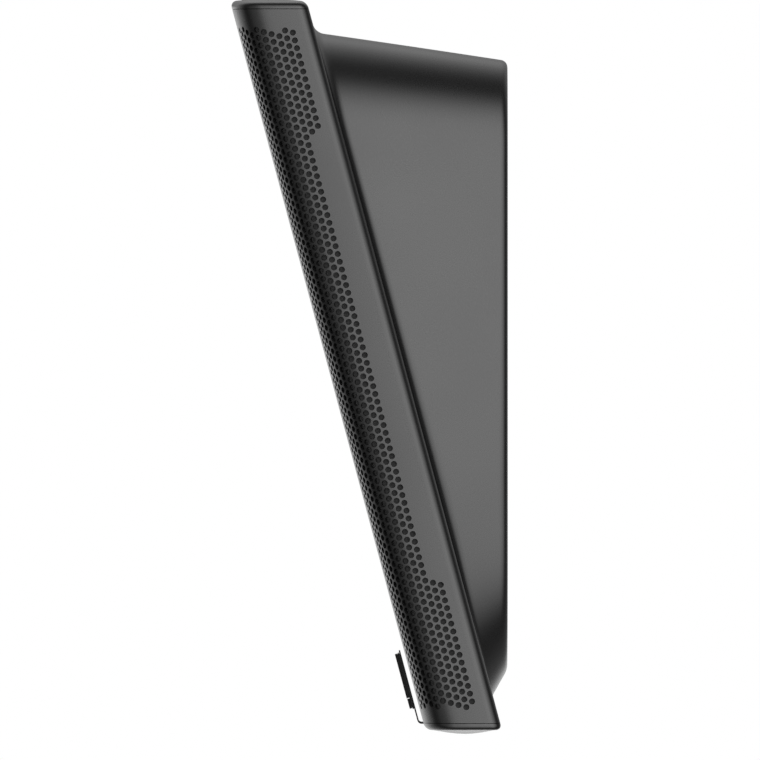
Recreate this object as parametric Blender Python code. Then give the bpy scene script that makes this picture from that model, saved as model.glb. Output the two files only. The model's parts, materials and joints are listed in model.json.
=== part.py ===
"""A wall-mounted smart display: a landscape screen between two perforated speaker sides, leaning out from
the wall on a hollow wedge that hangs on a steel wall plate.

World frame: the origin is the middle of the wall plate's back face, +Y goes into the wall, +Z is up and +X is
to the right of somebody who faces the screen. Sizes are in millimetres and the helpers turn them into metres.
The display frame is the world frame turned by TILT about X: its Y = 0 is the face of the glass, its +Y goes
towards the back cover and its +Z runs up the screen.
"""

import math

import bmesh
import bpy
from mathutils import Matrix, Vector

MM = 0.001
TILT = math.radians(15)
GAP = 0.3
FINE_GAP = 0.1

# The leaning body.
BODY_WIDTH = 360
BODY_DEPTH = 22.3
BODY_HEIGHT = 218.3
BODY_FOOT = -109.5
FOOT_TO_WALL = 1.9
CAP_HEIGHT = 2.0
CROWN = 2.9
SKIN = 1.8

# Half the body's section: a corner that starts shallow at the glass and ends steep, a side that bows out a
# little as far as SIDE_WIDEST, then a small round at the back.
FRONT_CORNER_WIDTH = 14.4
FRONT_CORNER_DEPTH = 13.0
FRONT_CORNER_POWER = 1.6
SIDE_CORNER_POWER = 5.0
SIDE_BOW = 0.8
SIDE_WIDEST = 19.0
REAR_CORNER = 2.6
GLASS_HALF_WIDTH = 162.0
GLASS_THICKNESS = 1.6
REAR_PANEL_HALF_WIDTH = 149.6
REAR_PANEL_THICKNESS = 2.2

# The wedge between the body and the wall: half width, bottom, top and upper corner radius of its sections.
# The lower corners are wider: they all start at one height.
WEDGE_AT_BODY = (137.0, -100.8, 100.6, 30.0)
WEDGE_NEAR_WALL = (134.0, -95.8, 92.6, 26.0)
WEDGE_AT_WALL = (132.0, -90.5, 90.5, 24.0)
WEDGE_LOW_CORNERS_START = -50.0
WEDGE_EDGE = 2.0
WEDGE_SKIN = 2.4

# Wall plate, the recess that takes it, and the hooks it carries.
PLATE_HALF_WIDTH = 70.0
PLATE_HALF_HEIGHT = 50.0
PLATE_THICKNESS = 1.6
RECESS_DEPTH = 4.6
RECESS_HALF_WIDTH = 72.6
RECESS_BOTTOM = -67.6
RECESS_TOP = 52.6
LIFT = 6.0
HOOK_PLACES = [(x, z) for x in (-50, 50) for z in (-26, 34)]
HOOK_WIDTH = 14.0
HOOK_LIP = 5.0
HOOK_NECK = 2.0

# Layers behind the glass, in the display frame.
GASKET_LAYER = (1.7, 2.2)
LCD_LAYER = (2.0, 3.2)
BACKLIGHT_LAYER = (3.5, 6.9)
CHASSIS_WALL_FRONT = 2.3
CHASSIS_FLOOR = (7.2, 8.7)
BOARD_LAYER = (10.3, 11.9)
CHASSIS_HALF_WIDTH = 161.0
CHASSIS_BOTTOM = -109.0
CHASSIS_TOP = 106.5
CHASSIS_WALL = 1.2
LCD_HALF_WIDTH = 157.5
LCD_BOTTOM = -89.5
LCD_TOP = 96.3

# Speakers: each side has a short driver near the top and a longer one near the bottom.
SPEAKER_BOX_X = (163.0, 171.0)
SPEAKER_BOX_Y = (4.4, 19.8)
SPEAKER_BOX_Z = (-107.0, 103.0)
DRIVER_MIDDLE_Y = 12.2
DRIVERS = {"tweeter": (87.0, 30.0), "woofer": (-86.0, 40.0)}

# Buttons on the top cap, and the camera shutter beside them.
BUTTONS = {"mute_button": 95.0, "volume_down_button": 75.0, "volume_up_button": 60.0}
BUTTON_SIZE = (9.2, 3.8)
BUTTON_Y = -68.7
BUTTON_PROUD = 0.5
BUTTON_FLANGE = (105.4, 106.5)
SHUTTER_OPEN_X = 9.0
KNOB_Y = -79.8
KNOB_PROUD = 0.4

# The small tab that stands on a bent strip in front of the glass, at its lower edge.
TAB_X = 128.0
TAB_HALF_WIDTH = 12.0
TAB_TOP = -88.8

# Fasteners.
SCREW_SHANK_RADIUS = 1.1
SCREW_HEAD_RADIUS = 2.4
REAR_SCREW_PLACES = [(x, z) for x in (-143.3, 143.3) for z in (-92, 92)]
BOARD_SCREW_PLACES = [(x, z) for x in (-65, 55) for z in (-37, 45)]

# Outlines.
ARC_STEPS = 5
CORNER_STEPS = 12

FINISHES = {
    "shell": ((0.105, 0.105, 0.107), 0.42, 0.0),
    "cap": ((0.09, 0.09, 0.092), 0.38, 0.0),
    "glass": ((0.01, 0.01, 0.012), 0.06, 0.0),
    "lcd": ((0.03, 0.03, 0.04), 0.3, 0.0),
    "diffuser": ((0.75, 0.76, 0.78), 0.5, 0.0),
    "foam": ((0.02, 0.02, 0.02), 0.9, 0.0),
    "aluminium": ((0.62, 0.63, 0.65), 0.4, 1.0),
    "steel": ((0.5, 0.5, 0.52), 0.35, 1.0),
    "dark_steel": ((0.08, 0.08, 0.085), 0.45, 0.9),
    "circuit_board": ((0.02, 0.16, 0.07), 0.5, 0.0),
    "plain_black": ((0.015, 0.015, 0.016), 0.5, 0.0),
    "rubber": ((0.03, 0.03, 0.03), 0.8, 0.0),
    "ribbon": ((0.55, 0.3, 0.08), 0.45, 0.0),
}
MATERIALS = {}
PARTS = bpy.data.collections.new("smart_display")
CUTTERS = bpy.data.collections.new("cutters")


def clear_scene():
    for old in list(bpy.data.objects):
        bpy.data.objects.remove(old, do_unlink=True)
    bpy.context.scene.collection.children.link(PARTS)
    bpy.context.scene.collection.children.link(CUTTERS)


def make_materials():
    for name, (colour, roughness, metallic) in FINISHES.items():
        material = bpy.data.materials.new(name)
        material.use_nodes = True
        shader = material.node_tree.nodes["Principled BSDF"]
        shader.inputs["Base Color"].default_value = (*colour, 1.0)
        shader.inputs["Roughness"].default_value = roughness
        shader.inputs["Metallic"].default_value = metallic
        MATERIALS[name] = material


# ---- Places -----------------------------------------------------------------------------------------------


def rear_face_y(z):
    """World Y of the body's rear face at a world height."""
    return -(FOOT_TO_WALL + (z - BODY_FOOT) * math.tan(TILT))


def display_frame():
    """The empty that carries everything built along the screen."""
    frame = bpy.data.objects.new("display_frame", None)
    PARTS.objects.link(frame)
    glass_y = rear_face_y(0) - BODY_DEPTH / math.cos(TILT)
    frame.location = (0, glass_y * MM, 0)
    frame.rotation_euler = (TILT, 0, 0)
    return frame


def seam(end):
    """World height of the seam between the body's sides and a cap: end is -1 at the foot and 1 at the top."""
    return BODY_FOOT + CAP_HEIGHT if end < 0 else BODY_FOOT + BODY_HEIGHT - CAP_HEIGHT


def crown_height(x):
    """How far the top cap's back stands above its ends, at a place across the body."""
    return CROWN * (1 - (2 * x / BODY_WIDTH) ** 2)


# ---- Outlines ---------------------------------------------------------------------------------------------


def arc(centre, radii, start, end, steps):
    """Points on an elliptical arc, with angles in degrees."""
    points = []
    for i in range(steps + 1):
        angle = math.radians(start + (end - start) * i / steps)
        points.append((centre[0] + radii[0] * math.cos(angle), centre[1] + radii[1] * math.sin(angle)))
    return points


def rounded_rectangle(low, high, radius, steps=ARC_STEPS, top_radius=None):
    """A rectangle with round corners; its upper ones may have their own radius."""
    (x0, y0), (x1, y1) = low, high
    top = radius if top_radius is None else top_radius
    corners = [
        (x1 - radius, y0 + radius, radius, -90),
        (x1 - top, y1 - top, top, 0),
        (x0 + top, y1 - top, top, 90),
        (x0 + radius, y0 + radius, radius, 180),
    ]
    points = []
    for x, y, size, start in corners:
        points += arc((x, y), (size, size), start, start + 90, steps)
    return points


def racetrack(centre, width, length, steps=4):
    """A slot shape with its long side along the outline's second axis."""
    half_width, half_length = width / 2, length / 2
    low = (centre[0] - half_width, centre[1] - half_length)
    high = (centre[0] + half_width, centre[1] + half_length)
    return rounded_rectangle(low, high, half_width - 0.01, steps)


def side_profile(inset):
    """The right-hand side of the body's section, front to back, moved inwards by inset."""
    half = BODY_WIDTH / 2
    places = []
    for i in range(CORNER_STEPS + 1):
        angle = math.pi / 2 * i / CORNER_STEPS
        across = math.sin(angle) ** (2 / FRONT_CORNER_POWER) if i else 0.0
        forward = math.cos(angle) ** (2 / SIDE_CORNER_POWER) if i < CORNER_STEPS else 0.0
        x = half - FRONT_CORNER_WIDTH + (FRONT_CORNER_WIDTH - inset) * across
        places.append((x, FRONT_CORNER_DEPTH - (FRONT_CORNER_DEPTH - inset) * forward))
    places += [(half - inset, FRONT_CORNER_DEPTH + 2), (half - inset, FRONT_CORNER_DEPTH + 4)]
    side = [(x - SIDE_BOW * (1 - y / SIDE_WIDEST) ** 2, y) for x, y in places]
    rear_radius = max(REAR_CORNER - inset, 0.4)
    rear_centre = (half - inset - rear_radius, BODY_DEPTH - inset - rear_radius)
    return side + arc(rear_centre, (rear_radius, rear_radius), 0, 90, 3)


def strip_outline(path, thickness):
    """The outline of a strip of even thickness along a path."""
    left, right = [], []
    for i, point in enumerate(path):
        before = Vector(path[max(i - 1, 0)])
        after = Vector(path[min(i + 1, len(path) - 1)])
        along = (after - before).normalized()
        across = Vector((-along.y, along.x)) * thickness / 2
        left.append(tuple(Vector(point) + across))
        right.append(tuple(Vector(point) - across))
    return left + right[::-1]


# ---- Solids -----------------------------------------------------------------------------------------------


def new_object(name, mesh, finish=None, frame=None):
    """A part if it has a finish, otherwise a hidden cutter."""
    made = bpy.data.objects.new(name, mesh)
    made.parent = frame
    if finish is None:
        CUTTERS.objects.link(made)
        made.hide_render = True
        made.display_type = "WIRE"
    else:
        PARTS.objects.link(made)
        mesh.materials.append(MATERIALS[finish])
    return made


def mesh_from(shape, name):
    mesh = bpy.data.meshes.new(name)
    shape.to_mesh(mesh)
    shape.free()
    return mesh


def box(name, low, high, finish=None, frame=None):
    low, high = Vector(low) * MM, Vector(high) * MM
    shape = bmesh.new()
    bmesh.ops.create_cube(shape, size=1.0)
    bmesh.ops.scale(shape, vec=high - low, verts=shape.verts)
    made = new_object(name, mesh_from(shape, name), finish, frame)
    made.location = (low + high) / 2
    return made


# Which way an outline's two axes and its extrusion run, as the columns of a rotation.
PLANES = {
    "XY": Matrix(((1, 0, 0), (0, 1, 0), (0, 0, 1))),
    "XZ": Matrix(((1, 0, 0), (0, 0, -1), (0, 1, 0))),
    "YZ": Matrix(((0, 0, 1), (1, 0, 0), (0, 1, 0))),
}


def prism(name, outlines, plane, low, high, finish=None, frame=None):
    """A flat outline, with any holes after it, drawn in a plane and standing from low to high across it."""
    curve = bpy.data.curves.new(name, "CURVE")
    curve.dimensions = "2D"
    curve.fill_mode = "BOTH"
    curve.extrude = (high - low) / 2 * MM
    for outline in outlines:
        spline = curve.splines.new("POLY")
        spline.points.add(len(outline) - 1)
        for point, (u, v) in zip(spline.points, outline):
            point.co = (u * MM, v * MM, 0, 1)
        spline.use_cyclic_u = True
    drawn = bpy.data.objects.new(name + "_outline", curve)
    CUTTERS.objects.link(drawn)
    graph = bpy.context.evaluated_depsgraph_get()
    mesh = bpy.data.meshes.new_from_object(drawn.evaluated_get(graph))
    bpy.data.objects.remove(drawn)
    mesh.name = name
    shape = bmesh.new()
    shape.from_mesh(mesh)
    bmesh.ops.remove_doubles(shape, verts=shape.verts, dist=1e-6)
    turn = PLANES[plane]
    middle = turn @ Vector((0, 0, 1))
    # The XZ plane's extrusion runs along -Y, so its middle is negated to keep low and high on +Y.
    sign = -1 if plane == "XZ" else 1
    shape.transform(Matrix.Translation(middle * sign * (low + high) / 2 * MM) @ turn.to_4x4())
    bmesh.ops.recalc_face_normals(shape, faces=shape.faces)
    shape.to_mesh(mesh)
    shape.free()
    mesh.materials.clear()
    return new_object(name, mesh, finish, frame)


def cylinder(name, centre, radius, low, high, axis, finish=None, frame=None, segments=16):
    """A round bar along an axis, centred on the two other coordinates."""
    shape = bmesh.new()
    thick, depth = radius * MM, (high - low) * MM
    bmesh.ops.create_cone(shape, cap_ends=True, segments=segments, radius1=thick, radius2=thick, depth=depth)
    middle = (low + high) / 2
    if axis == "X":
        turn, place = Matrix.Rotation(math.pi / 2, 4, "Y"), (middle, centre[0], centre[1])
    elif axis == "Y":
        turn, place = Matrix.Rotation(math.pi / 2, 4, "X"), (centre[0], middle, centre[1])
    else:
        turn, place = Matrix.Identity(4), (centre[0], centre[1], middle)
    shape.transform(turn)
    made = new_object(name, mesh_from(shape, name), finish, frame)
    made.location = Vector(place) * MM
    return made


def loft(name, rings, finish=None):
    """A closed skin through rings of equally many points, in the world frame."""
    shape = bmesh.new()
    layers = [[shape.verts.new(Vector(point) * MM) for point in ring] for ring in rings]
    for near, far in zip(layers, layers[1:]):
        for i in range(len(near)):
            j = (i + 1) % len(near)
            shape.faces.new((near[i], near[j], far[j], far[i]))
    shape.faces.new(layers[0][::-1])
    shape.faces.new(layers[-1])
    bmesh.ops.recalc_face_normals(shape, faces=shape.faces)
    return new_object(name, mesh_from(shape, name), finish)


def combine(target, operation, *others):
    for other in others:
        modifier = target.modifiers.new(other.name, "BOOLEAN")
        modifier.operation = operation
        modifier.solver = "EXACT"
        modifier.object = other
    return target


def cut(target, *others):
    return combine(target, "DIFFERENCE", *others)


def join(target, *others):
    return combine(target, "UNION", *others)


def between_caps(name):
    """A slab that ends level with the seams, so that what it trims has level ends like the real sides."""
    reach = BODY_WIDTH
    return box(
        name + "_trim", (-reach, -reach, seam(-1) + GAP / 2), (reach, reach, seam(1) - GAP / 2)
    )


def trim(target):
    return combine(target, "INTERSECT", between_caps(target.name))


# ---- Outer shells -----------------------------------------------------------------------------------------


def side_grille(side, frame):
    """The speaker side: one C-shaped skin from the glass round to the rear panel, with level ends."""
    name = "side_grille_right" if side > 0 else "side_grille_left"
    front_lip = GLASS_HALF_WIDTH + GAP
    rear_lip = REAR_PANEL_HALF_WIDTH + GAP
    outer = [(front_lip, 0)] + side_profile(0) + [(rear_lip, BODY_DEPTH)]
    inner = [(front_lip, SKIN)] + side_profile(SKIN) + [(rear_lip, BODY_DEPTH - SKIN)]
    outline = [(side * x, y) for x, y in outer + inner[::-1]]
    reach = BODY_HEIGHT / 2 + 12
    return trim(prism(name, [outline], "XY", -reach, reach, "shell", frame))


def end_cap(end, frame):
    """The crowned cap across one end of the body: the body's section, cut level below and bowed above."""
    name = "top_cap" if end > 0 else "bottom_cap"
    right = side_profile(0)
    outline = right + [(-x, y) for x, y in right[::-1]]
    reach = BODY_HEIGHT / 2 + 14
    cap = prism(name, [outline], "XY", -reach, reach, "cap", frame)
    half = BODY_WIDTH / 2
    level = seam(end) + end * GAP / 2
    steps = 16
    bow = []
    for i in range(steps + 1):
        x = half - 2 * half * i / steps
        bow.append((x, seam(end) + end * (CAP_HEIGHT + crown_height(x))))
    slab = prism(name + "_slab", [[(-half - 1, level)] + [(half + 1, level)] + bow], "XZ", -120, 20)
    return combine(cap, "INTERSECT", slab)


def wedge_ring(section, y_at):
    half_width, bottom, top, top_radius = section
    low_radius = WEDGE_LOW_CORNERS_START - bottom
    outline = rounded_rectangle((-half_width, bottom), (half_width, top), low_radius, ARC_STEPS, top_radius)
    return [(x, y_at(z), z) for x, z in outline]


def inner_section(section):
    """A wedge section moved inwards by the skin, stopping above the foot where the wedge is only skin."""
    half_width, bottom, top, radius = section
    return (half_width - WEDGE_SKIN, max(bottom + WEDGE_SKIN, -84.0), top - WEDGE_SKIN, radius - WEDGE_SKIN)


def rear_housing(frame):
    """The rear panel and the wedge in one moulding, with the wall plate's recess and the cable pocket."""
    back = BODY_DEPTH
    front = back - REAR_PANEL_THICKNESS
    half = REAR_PANEL_HALF_WIDTH
    housing = box("rear_housing", (-half, front, -130), (half, back, 130), "shell", frame)
    trim(housing)
    wedge = loft(
        "wedge_body",
        [
            wedge_ring(WEDGE_AT_BODY, lambda z: rear_face_y(z) - 1.0),
            wedge_ring(WEDGE_AT_BODY, rear_face_y),
            wedge_ring(WEDGE_NEAR_WALL, lambda z: -WEDGE_EDGE),
            wedge_ring(WEDGE_AT_WALL, lambda z: 0.0),
        ],
    )
    hollow = loft(
        "wedge_hollow",
        [
            wedge_ring(inner_section(WEDGE_AT_BODY), lambda z: rear_face_y(z) - 4.0),
            wedge_ring(inner_section(WEDGE_NEAR_WALL), lambda z: -WEDGE_SKIN),
        ],
    )
    join(housing, wedge)
    cut(housing, hollow)
    join(housing, *recess_tray())
    cut(housing, *recess_cuts())
    join(housing, *slider_rails())
    cut(housing, *screw_seats(frame))
    return housing


def recess_tray():
    """Blocks that the recess and the cable pocket are then cut from, and the posts for the socket board."""
    floor = WEDGE_SKIN
    blocks = [
        box(
            "recess_block",
            (-RECESS_HALF_WIDTH - floor, -RECESS_DEPTH - floor, RECESS_BOTTOM - floor),
            (RECESS_HALF_WIDTH + floor, -1.0, RECESS_TOP + floor),
        ),
        box("pocket_block", (-32, -20.6, -50), (32, -6, -12)),
    ]
    for side in (-1, 1):
        blocks.append(cylinder(f"board_post_{side}", (side * 27, 25), 2.5, -20.4, -6, "Y", segments=16))
    return blocks


def slider_rails():
    """The two ribs in the foot of the recess that the hold-down slider runs between."""
    root = -RECESS_DEPTH - 1
    rails = []
    for side in (-1, 1):
        low, high = ordered((side * 12.4, root, -66), (side * 14.8, -2.1, -51.5))
        rails.append(box(f"rail_{side}", low, high))
    return rails


def ordered(a, b):
    """Two opposite corners as the lowest and the highest one."""
    low = tuple(min(p, q) for p, q in zip(a, b))
    high = tuple(max(p, q) for p, q in zip(a, b))
    return low, high


def recess_cuts():
    """The recess itself, its hook slots, the cable pocket and the sockets' openings."""
    deep = -RECESS_DEPTH
    through = -RECESS_DEPTH - WEDGE_SKIN - 1
    cutters = [
        box("recess", (-RECESS_HALF_WIDTH, deep, RECESS_BOTTOM), (RECESS_HALF_WIDTH, 1, RECESS_TOP)),
        box("pocket", (-30, -18.6, -48), (30, 1, -14)),
        box("ethernet_opening", (-24, -18.4, -15), (-10, -7.6, -11)),
        box("usb_opening", (-2.5, -19.4, -15), (6.5, -15.6, -11)),
        box("power_opening", (14, -18.2, -15), (24, -9, -11)),
    ]
    for x, z in HOOK_PLACES:
        half = HOOK_WIDTH / 2 + 1
        bottom = z - HOOK_NECK - HOOK_LIP - 1.6
        cutters.append(box(f"hook_slot_{x}_{z}", (x - half, through, bottom), (x + half, 1, z + GAP)))
    return cutters


def screw_seats(frame):
    """Holes and counterbores for the screws that hold the back on."""
    seats = []
    back = BODY_DEPTH
    for i, place in enumerate(REAR_SCREW_PLACES):
        low = back - REAR_PANEL_THICKNESS - 1
        seats.append(cylinder(f"rear_hole_{i}", place, 1.5, low, back + 1, "Y", None, frame, 12))
        seats.append(cylinder(f"rear_seat_{i}", place, 2.8, back - 1.4, back + 1, "Y", None, frame))
    return seats


def front_glass(frame):
    half = GLASS_HALF_WIDTH
    glass = box("front_glass", (-half, 0, -130), (half, GLASS_THICKNESS, 130), "glass", frame)
    return trim(glass)


# ---- Wall side --------------------------------------------------------------------------------------------


def wall_plate():
    """The steel plate that is screwed to the wall, with four hooks that reach through the tray's slots."""
    outline = rounded_rectangle(
        (-PLATE_HALF_WIDTH, -PLATE_HALF_HEIGHT), (PLATE_HALF_WIDTH, PLATE_HALF_HEIGHT), 6
    )
    cable_way = rounded_rectangle((-28, -46), (28, -16), 4)
    slots = [racetrack((x, z), 4.5, 11, 3) for x in (-62, 62) for z in (-36, 0, 36)]
    plate = prism("wall_plate", [outline, cable_way] + slots, "XZ", -PLATE_THICKNESS, 0, "dark_steel")
    behind_floor = RECESS_DEPTH + WEDGE_SKIN + 0.4
    for x, z in HOOK_PLACES:
        half = HOOK_WIDTH / 2
        low, high = x - half, x + half
        neck = box(f"hook_neck_{x}_{z}", (low, -behind_floor - 1, z - HOOK_NECK), (high, -1, z))
        lip = box(
            f"hook_lip_{x}_{z}",
            (low, -behind_floor - 1.5, z - HOOK_NECK),
            (high, -behind_floor, z + HOOK_LIP),
        )
        join(plate, neck, lip)
    return plate


def hold_down_slider():
    """The sprung slider under the wall plate's lower edge: it presses the display down onto the hooks."""
    slider = box("hold_down_slider", (-12.0, -4.3, -61), (12.0, -3.0, -50.4), "plain_black")
    nose = box("slider_nose", (-9, -3.4, -54), (9, -0.5, -50.4))
    grip = box("slider_grip", (-9, -3.4, -60.6), (9, -1.6, -57))
    return join(slider, nose, grip)


# ---- Screen -----------------------------------------------------------------------------------------------


def display_gasket(frame):
    """The foam ring between the glass and the chassis, open where the camera shutter passes."""
    outer = [
        (-CHASSIS_HALF_WIDTH, CHASSIS_BOTTOM),
        (CHASSIS_HALF_WIDTH, CHASSIS_BOTTOM),
        (CHASSIS_HALF_WIDTH, CHASSIS_TOP),
        (-CHASSIS_HALF_WIDTH, CHASSIS_TOP),
    ]
    width = 2.2
    inner = [(x - math.copysign(width, x), z - math.copysign(width, z)) for x, z in outer]
    gasket = prism("display_gasket", [outer, inner], "XZ", *GASKET_LAYER, "foam", frame)
    return cut(gasket, shutter_way("gasket_shutter_way", frame))


def shutter_way(name, frame):
    return box(name, (-9, 1.0, 96.8), (19, 7.0, 130), None, frame)


def screen_layers(frame):
    half = LCD_HALF_WIDTH
    box("lcd_panel", (-half, LCD_LAYER[0], LCD_BOTTOM), (half, LCD_LAYER[1], LCD_TOP), "lcd", frame)
    box(
        "backlight_unit",
        (-half, BACKLIGHT_LAYER[0], LCD_BOTTOM),
        (half, BACKLIGHT_LAYER[1], LCD_TOP),
        "diffuser",
        frame,
    )
    box("lcd_driver_board", (-140, 4.0, -104), (140, 5.2, -93), "circuit_board", frame)


def chassis(frame):
    """The aluminium tray behind the screen, with its bosses for the boards and the back."""
    half = CHASSIS_HALF_WIDTH
    tray = box(
        "chassis",
        (-half, CHASSIS_WALL_FRONT, CHASSIS_BOTTOM),
        (half, CHASSIS_FLOOR[1], CHASSIS_TOP),
        "aluminium",
        frame,
    )
    inner = half - CHASSIS_WALL
    pan = box(
        "chassis_pan",
        (-inner, 0, CHASSIS_BOTTOM + CHASSIS_WALL),
        (inner, CHASSIS_FLOOR[0], CHASSIS_TOP - CHASSIS_WALL),
        None,
        frame,
    )
    windows = [
        box("ribbon_slot", (-22, 5, -101), (22, 12, -91), None, frame),
        box("lightening_left", (-150, 5, -70), (-90, 12, 70), None, frame),
    ]
    cut(tray, pan, shutter_way("chassis_shutter_way", frame), *windows)
    floor = CHASSIS_FLOOR[1]
    boss_tops = {
        "board_boss": (BOARD_SCREW_PLACES, BOARD_LAYER[0] - 0.1),
        "rear_boss": (REAR_SCREW_PLACES, BODY_DEPTH - REAR_PANEL_THICKNESS - 0.2),
    }
    for name, (places, top) in boss_tops.items():
        for i, place in enumerate(places):
            join(tray, cylinder(f"{name}_{i}", place, 3, floor - 0.5, top, "Y", None, frame))
    for i, place in enumerate(BOARD_SCREW_PLACES + REAR_SCREW_PLACES):
        cut(tray, cylinder(f"boss_hole_{i}", place, 1.3, floor + 0.3, 30, "Y", None, frame, 12))
    return tray


# ---- Electronics ------------------------------------------------------------------------------------------


def boards(frame):
    low, high = BOARD_LAYER
    main = box("main_board", (-70, low, -42), (60, high, 50), "circuit_board", frame)
    join(main, box("processor", (-15, high - 0.2, 0), (5, high + 1.2, 20), None, frame))
    join(main, box("memory_row", (-50, high - 0.2, 5), (-38, high + 1.0, 31), None, frame))
    join(main, box("ribbon_socket", (-16, high - 0.2, -41), (16, high + 1.6, -36), None, frame))
    for i, (x, z) in enumerate(BOARD_SCREW_PLACES):
        cut(main, cylinder(f"board_hole_{i}", (x, z), 1.5, low - 1, high + 1, "Y", None, frame, 12))

    base = high + 1.5
    sink = box("heat_sink", (-35, base, -12), (25, base + 2, 34), "aluminium", frame)
    fins = 9
    for i in range(fins):
        x = -35 + (60 - 1.6) * i / (fins - 1)
        join(sink, box(f"fin_{i}", (x, base + 1, -12), (x + 1.6, base + 9, 34), None, frame))

    box("radio_shield", (32, high + GAP, -32), (56, high + 2.8, -4), "steel", frame)

    power = box("power_board", (75, low, -20), (131, high, 56), "circuit_board", frame)
    join(power, box("power_inductor", (112, high - 0.2, 30), (124, high + 7, 42), None, frame))
    transformer = box("transformer", (84, high + GAP, 20), (108, high + 16, 44), "plain_black", frame)
    join(transformer, box("transformer_core", (80.5, high + 4, 26), (111.5, high + 12, 38), None, frame))
    for i, z in enumerate((-8, 6)):
        cylinder(f"capacitor_{i + 1}", (96, z), 5, high + GAP, high + 14, "Y", "plain_black", frame)


def sockets():
    """The upright board inside the wedge and the sockets that open down into the cable pocket."""
    board = box("socket_board", (-34, -22.4, -11.6), (34, -20.8, 32), "circuit_board")
    join(board, box("board_link_plug", (-8, -21, 24), (8, -15, 29)))
    ethernet = box("ethernet_jack", (-25, -20.6, -11.6), (-9, -7.4, 9.6), "steel")
    cut(ethernet, box("ethernet_mouth", (-23, -18.4, -13), (-11, -9.4, 0)))
    cut(ethernet, box("ethernet_key", (-19, -9.6, -13), (-15, -8.2, 0)))
    usb_shell = rounded_rectangle((-2.6, -19.7), (6.6, -15.9), 1.7)
    usb_mouth = rounded_rectangle((-2.2, -19.3), (6.2, -16.3), 1.4)
    usb = prism("usb_socket", [usb_shell, usb_mouth], "XY", -11.6, -4.6, "steel")
    join(usb, box("usb_back", (-2.5, -19.6, -5.6), (6.5, -16, -4)))
    join(usb, box("usb_tongue", (-1, -18.1, -10.8), (5, -17.5, -5)))
    power = box("power_socket", (14, -20.6, -11.6), (24, -8.6, 2.4), "plain_black")
    cut(power, cylinder("power_bore", (19, -13.6), 3.2, -13, -1.6, "Z"))
    join(power, cylinder("power_pin", (19, -13.6), 1.0, -10.6, -1, "Z", segments=12))


def antennas(frame):
    for side, name in ((-1, "wifi_antenna_left"), (1, "wifi_antenna_right")):
        low, high = ordered((side * 139.5, 19.0, 15), (side * 147.5, 19.7, 65))
        box(name, low, high, "ribbon", frame)


def cables(frame):
    """The screen's ribbon and the two speaker leads."""
    path = [(5.5, -103), (5.5, -99.5), (6.0, -98.3), (8.9, -95.4), (11.2, -93.1), (12.7, -90.3)]
    path += [(13.4, -86), (13.9, -70), (13.9, -37.2)]
    prism("lcd_ribbon", [strip_outline(path, 0.35)], "YZ", -14, 14, "ribbon", frame)
    for side, name in ((-1, "speaker_lead_left"), (1, "speaker_lead_right")):
        start = Vector((66 * side if side > 0 else -76, 13.2, -26))
        end = Vector((162.3 * side, 12.0, -52))
        lead(name, start, end, frame)


def lead(name, start, end, frame):
    """A round cable that hangs in an S between two points."""
    curve = bpy.data.curves.new(name, "CURVE")
    curve.dimensions = "3D"
    curve.bevel_depth = 0.9 * MM
    curve.bevel_resolution = 2
    curve.use_fill_caps = True
    spline = curve.splines.new("POLY")
    steps = 14
    spline.points.add(steps)
    for i in range(steps + 1):
        t = i / steps
        point = start.lerp(end, t)
        point.z = start.z + (end.z - start.z) * t * t * (3 - 2 * t)
        spline.points[i].co = (*(point * MM), 1)
    made = bpy.data.objects.new(name, curve)
    made.parent = frame
    PARTS.objects.link(made)
    curve.materials.append(MATERIALS["rubber"])


def camera(frame):
    """The camera behind the glass and the shutter that slides across it."""
    box("camera_module", (-4.4, 4.1, 97.6), (4.4, 6.8, 105.2), "plain_black", frame)
    cylinder("camera_lens", (0, 101.4), 2.6, 2.7, 3.9, "Y", "glass", frame, segments=24)
    x = SHUTTER_OPEN_X
    shutter = box("camera_shutter", (x - 5, 1.9, 97.2), (x + 5, 2.4, 105.5), "plain_black", frame)
    arm = box("shutter_arm", (x - 1.8, 1.95, 104.4), (x + 1.8, 3.7, 109.3), None, frame)
    knob_top = BODY_FOOT + BODY_HEIGHT + CROWN + KNOB_PROUD
    knob = box("shutter_knob", (x - 2, KNOB_Y - 1.0, 105.2), (x + 2, KNOB_Y + 1.0, knob_top))
    join(shutter, arm, knob)
    box("microphone_board", (-62, 2.6, 98.4), (-16, 3.6, 103.6), "circuit_board", frame)


# ---- Top cap controls -------------------------------------------------------------------------------------


def button_outline(x, grow):
    """A button's stadium outline in the XY plane, grown for the hole around it."""
    half_x, half_y = BUTTON_SIZE[0] / 2 + grow, BUTTON_SIZE[1] / 2 + grow
    low, high = (x - half_x, BUTTON_Y - half_y), (x + half_x, BUTTON_Y + half_y)
    return rounded_rectangle(low, high, half_y - 0.01)


def buttons():
    half_x, half_y = BUTTON_SIZE[0] / 2, BUTTON_SIZE[1] / 2
    for name, x in BUTTONS.items():
        top = BODY_FOOT + BODY_HEIGHT + crown_height(x) + BUTTON_PROUD
        button = prism(name, [button_outline(x, 0)], "XY", BUTTON_FLANGE[0] + 0.2, top, "cap")
        flange = box(
            name + "_flange",
            (x - half_x - 0.9, BUTTON_Y - half_y - 0.7, BUTTON_FLANGE[0]),
            (x + half_x + 0.9, BUTTON_Y + half_y + 0.7, BUTTON_FLANGE[1]),
        )
        join(button, flange)
    xs = list(BUTTONS.values())
    board = box("button_board", (min(xs) - 9, -71.2, 101.5), (max(xs) + 9, -64.6, 102.7), "circuit_board")
    for name, x in BUTTONS.items():
        join(board, cylinder(name + "_switch", (x, BUTTON_Y), 1.6, 102.5, 104.7, "Z", segments=16))


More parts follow.
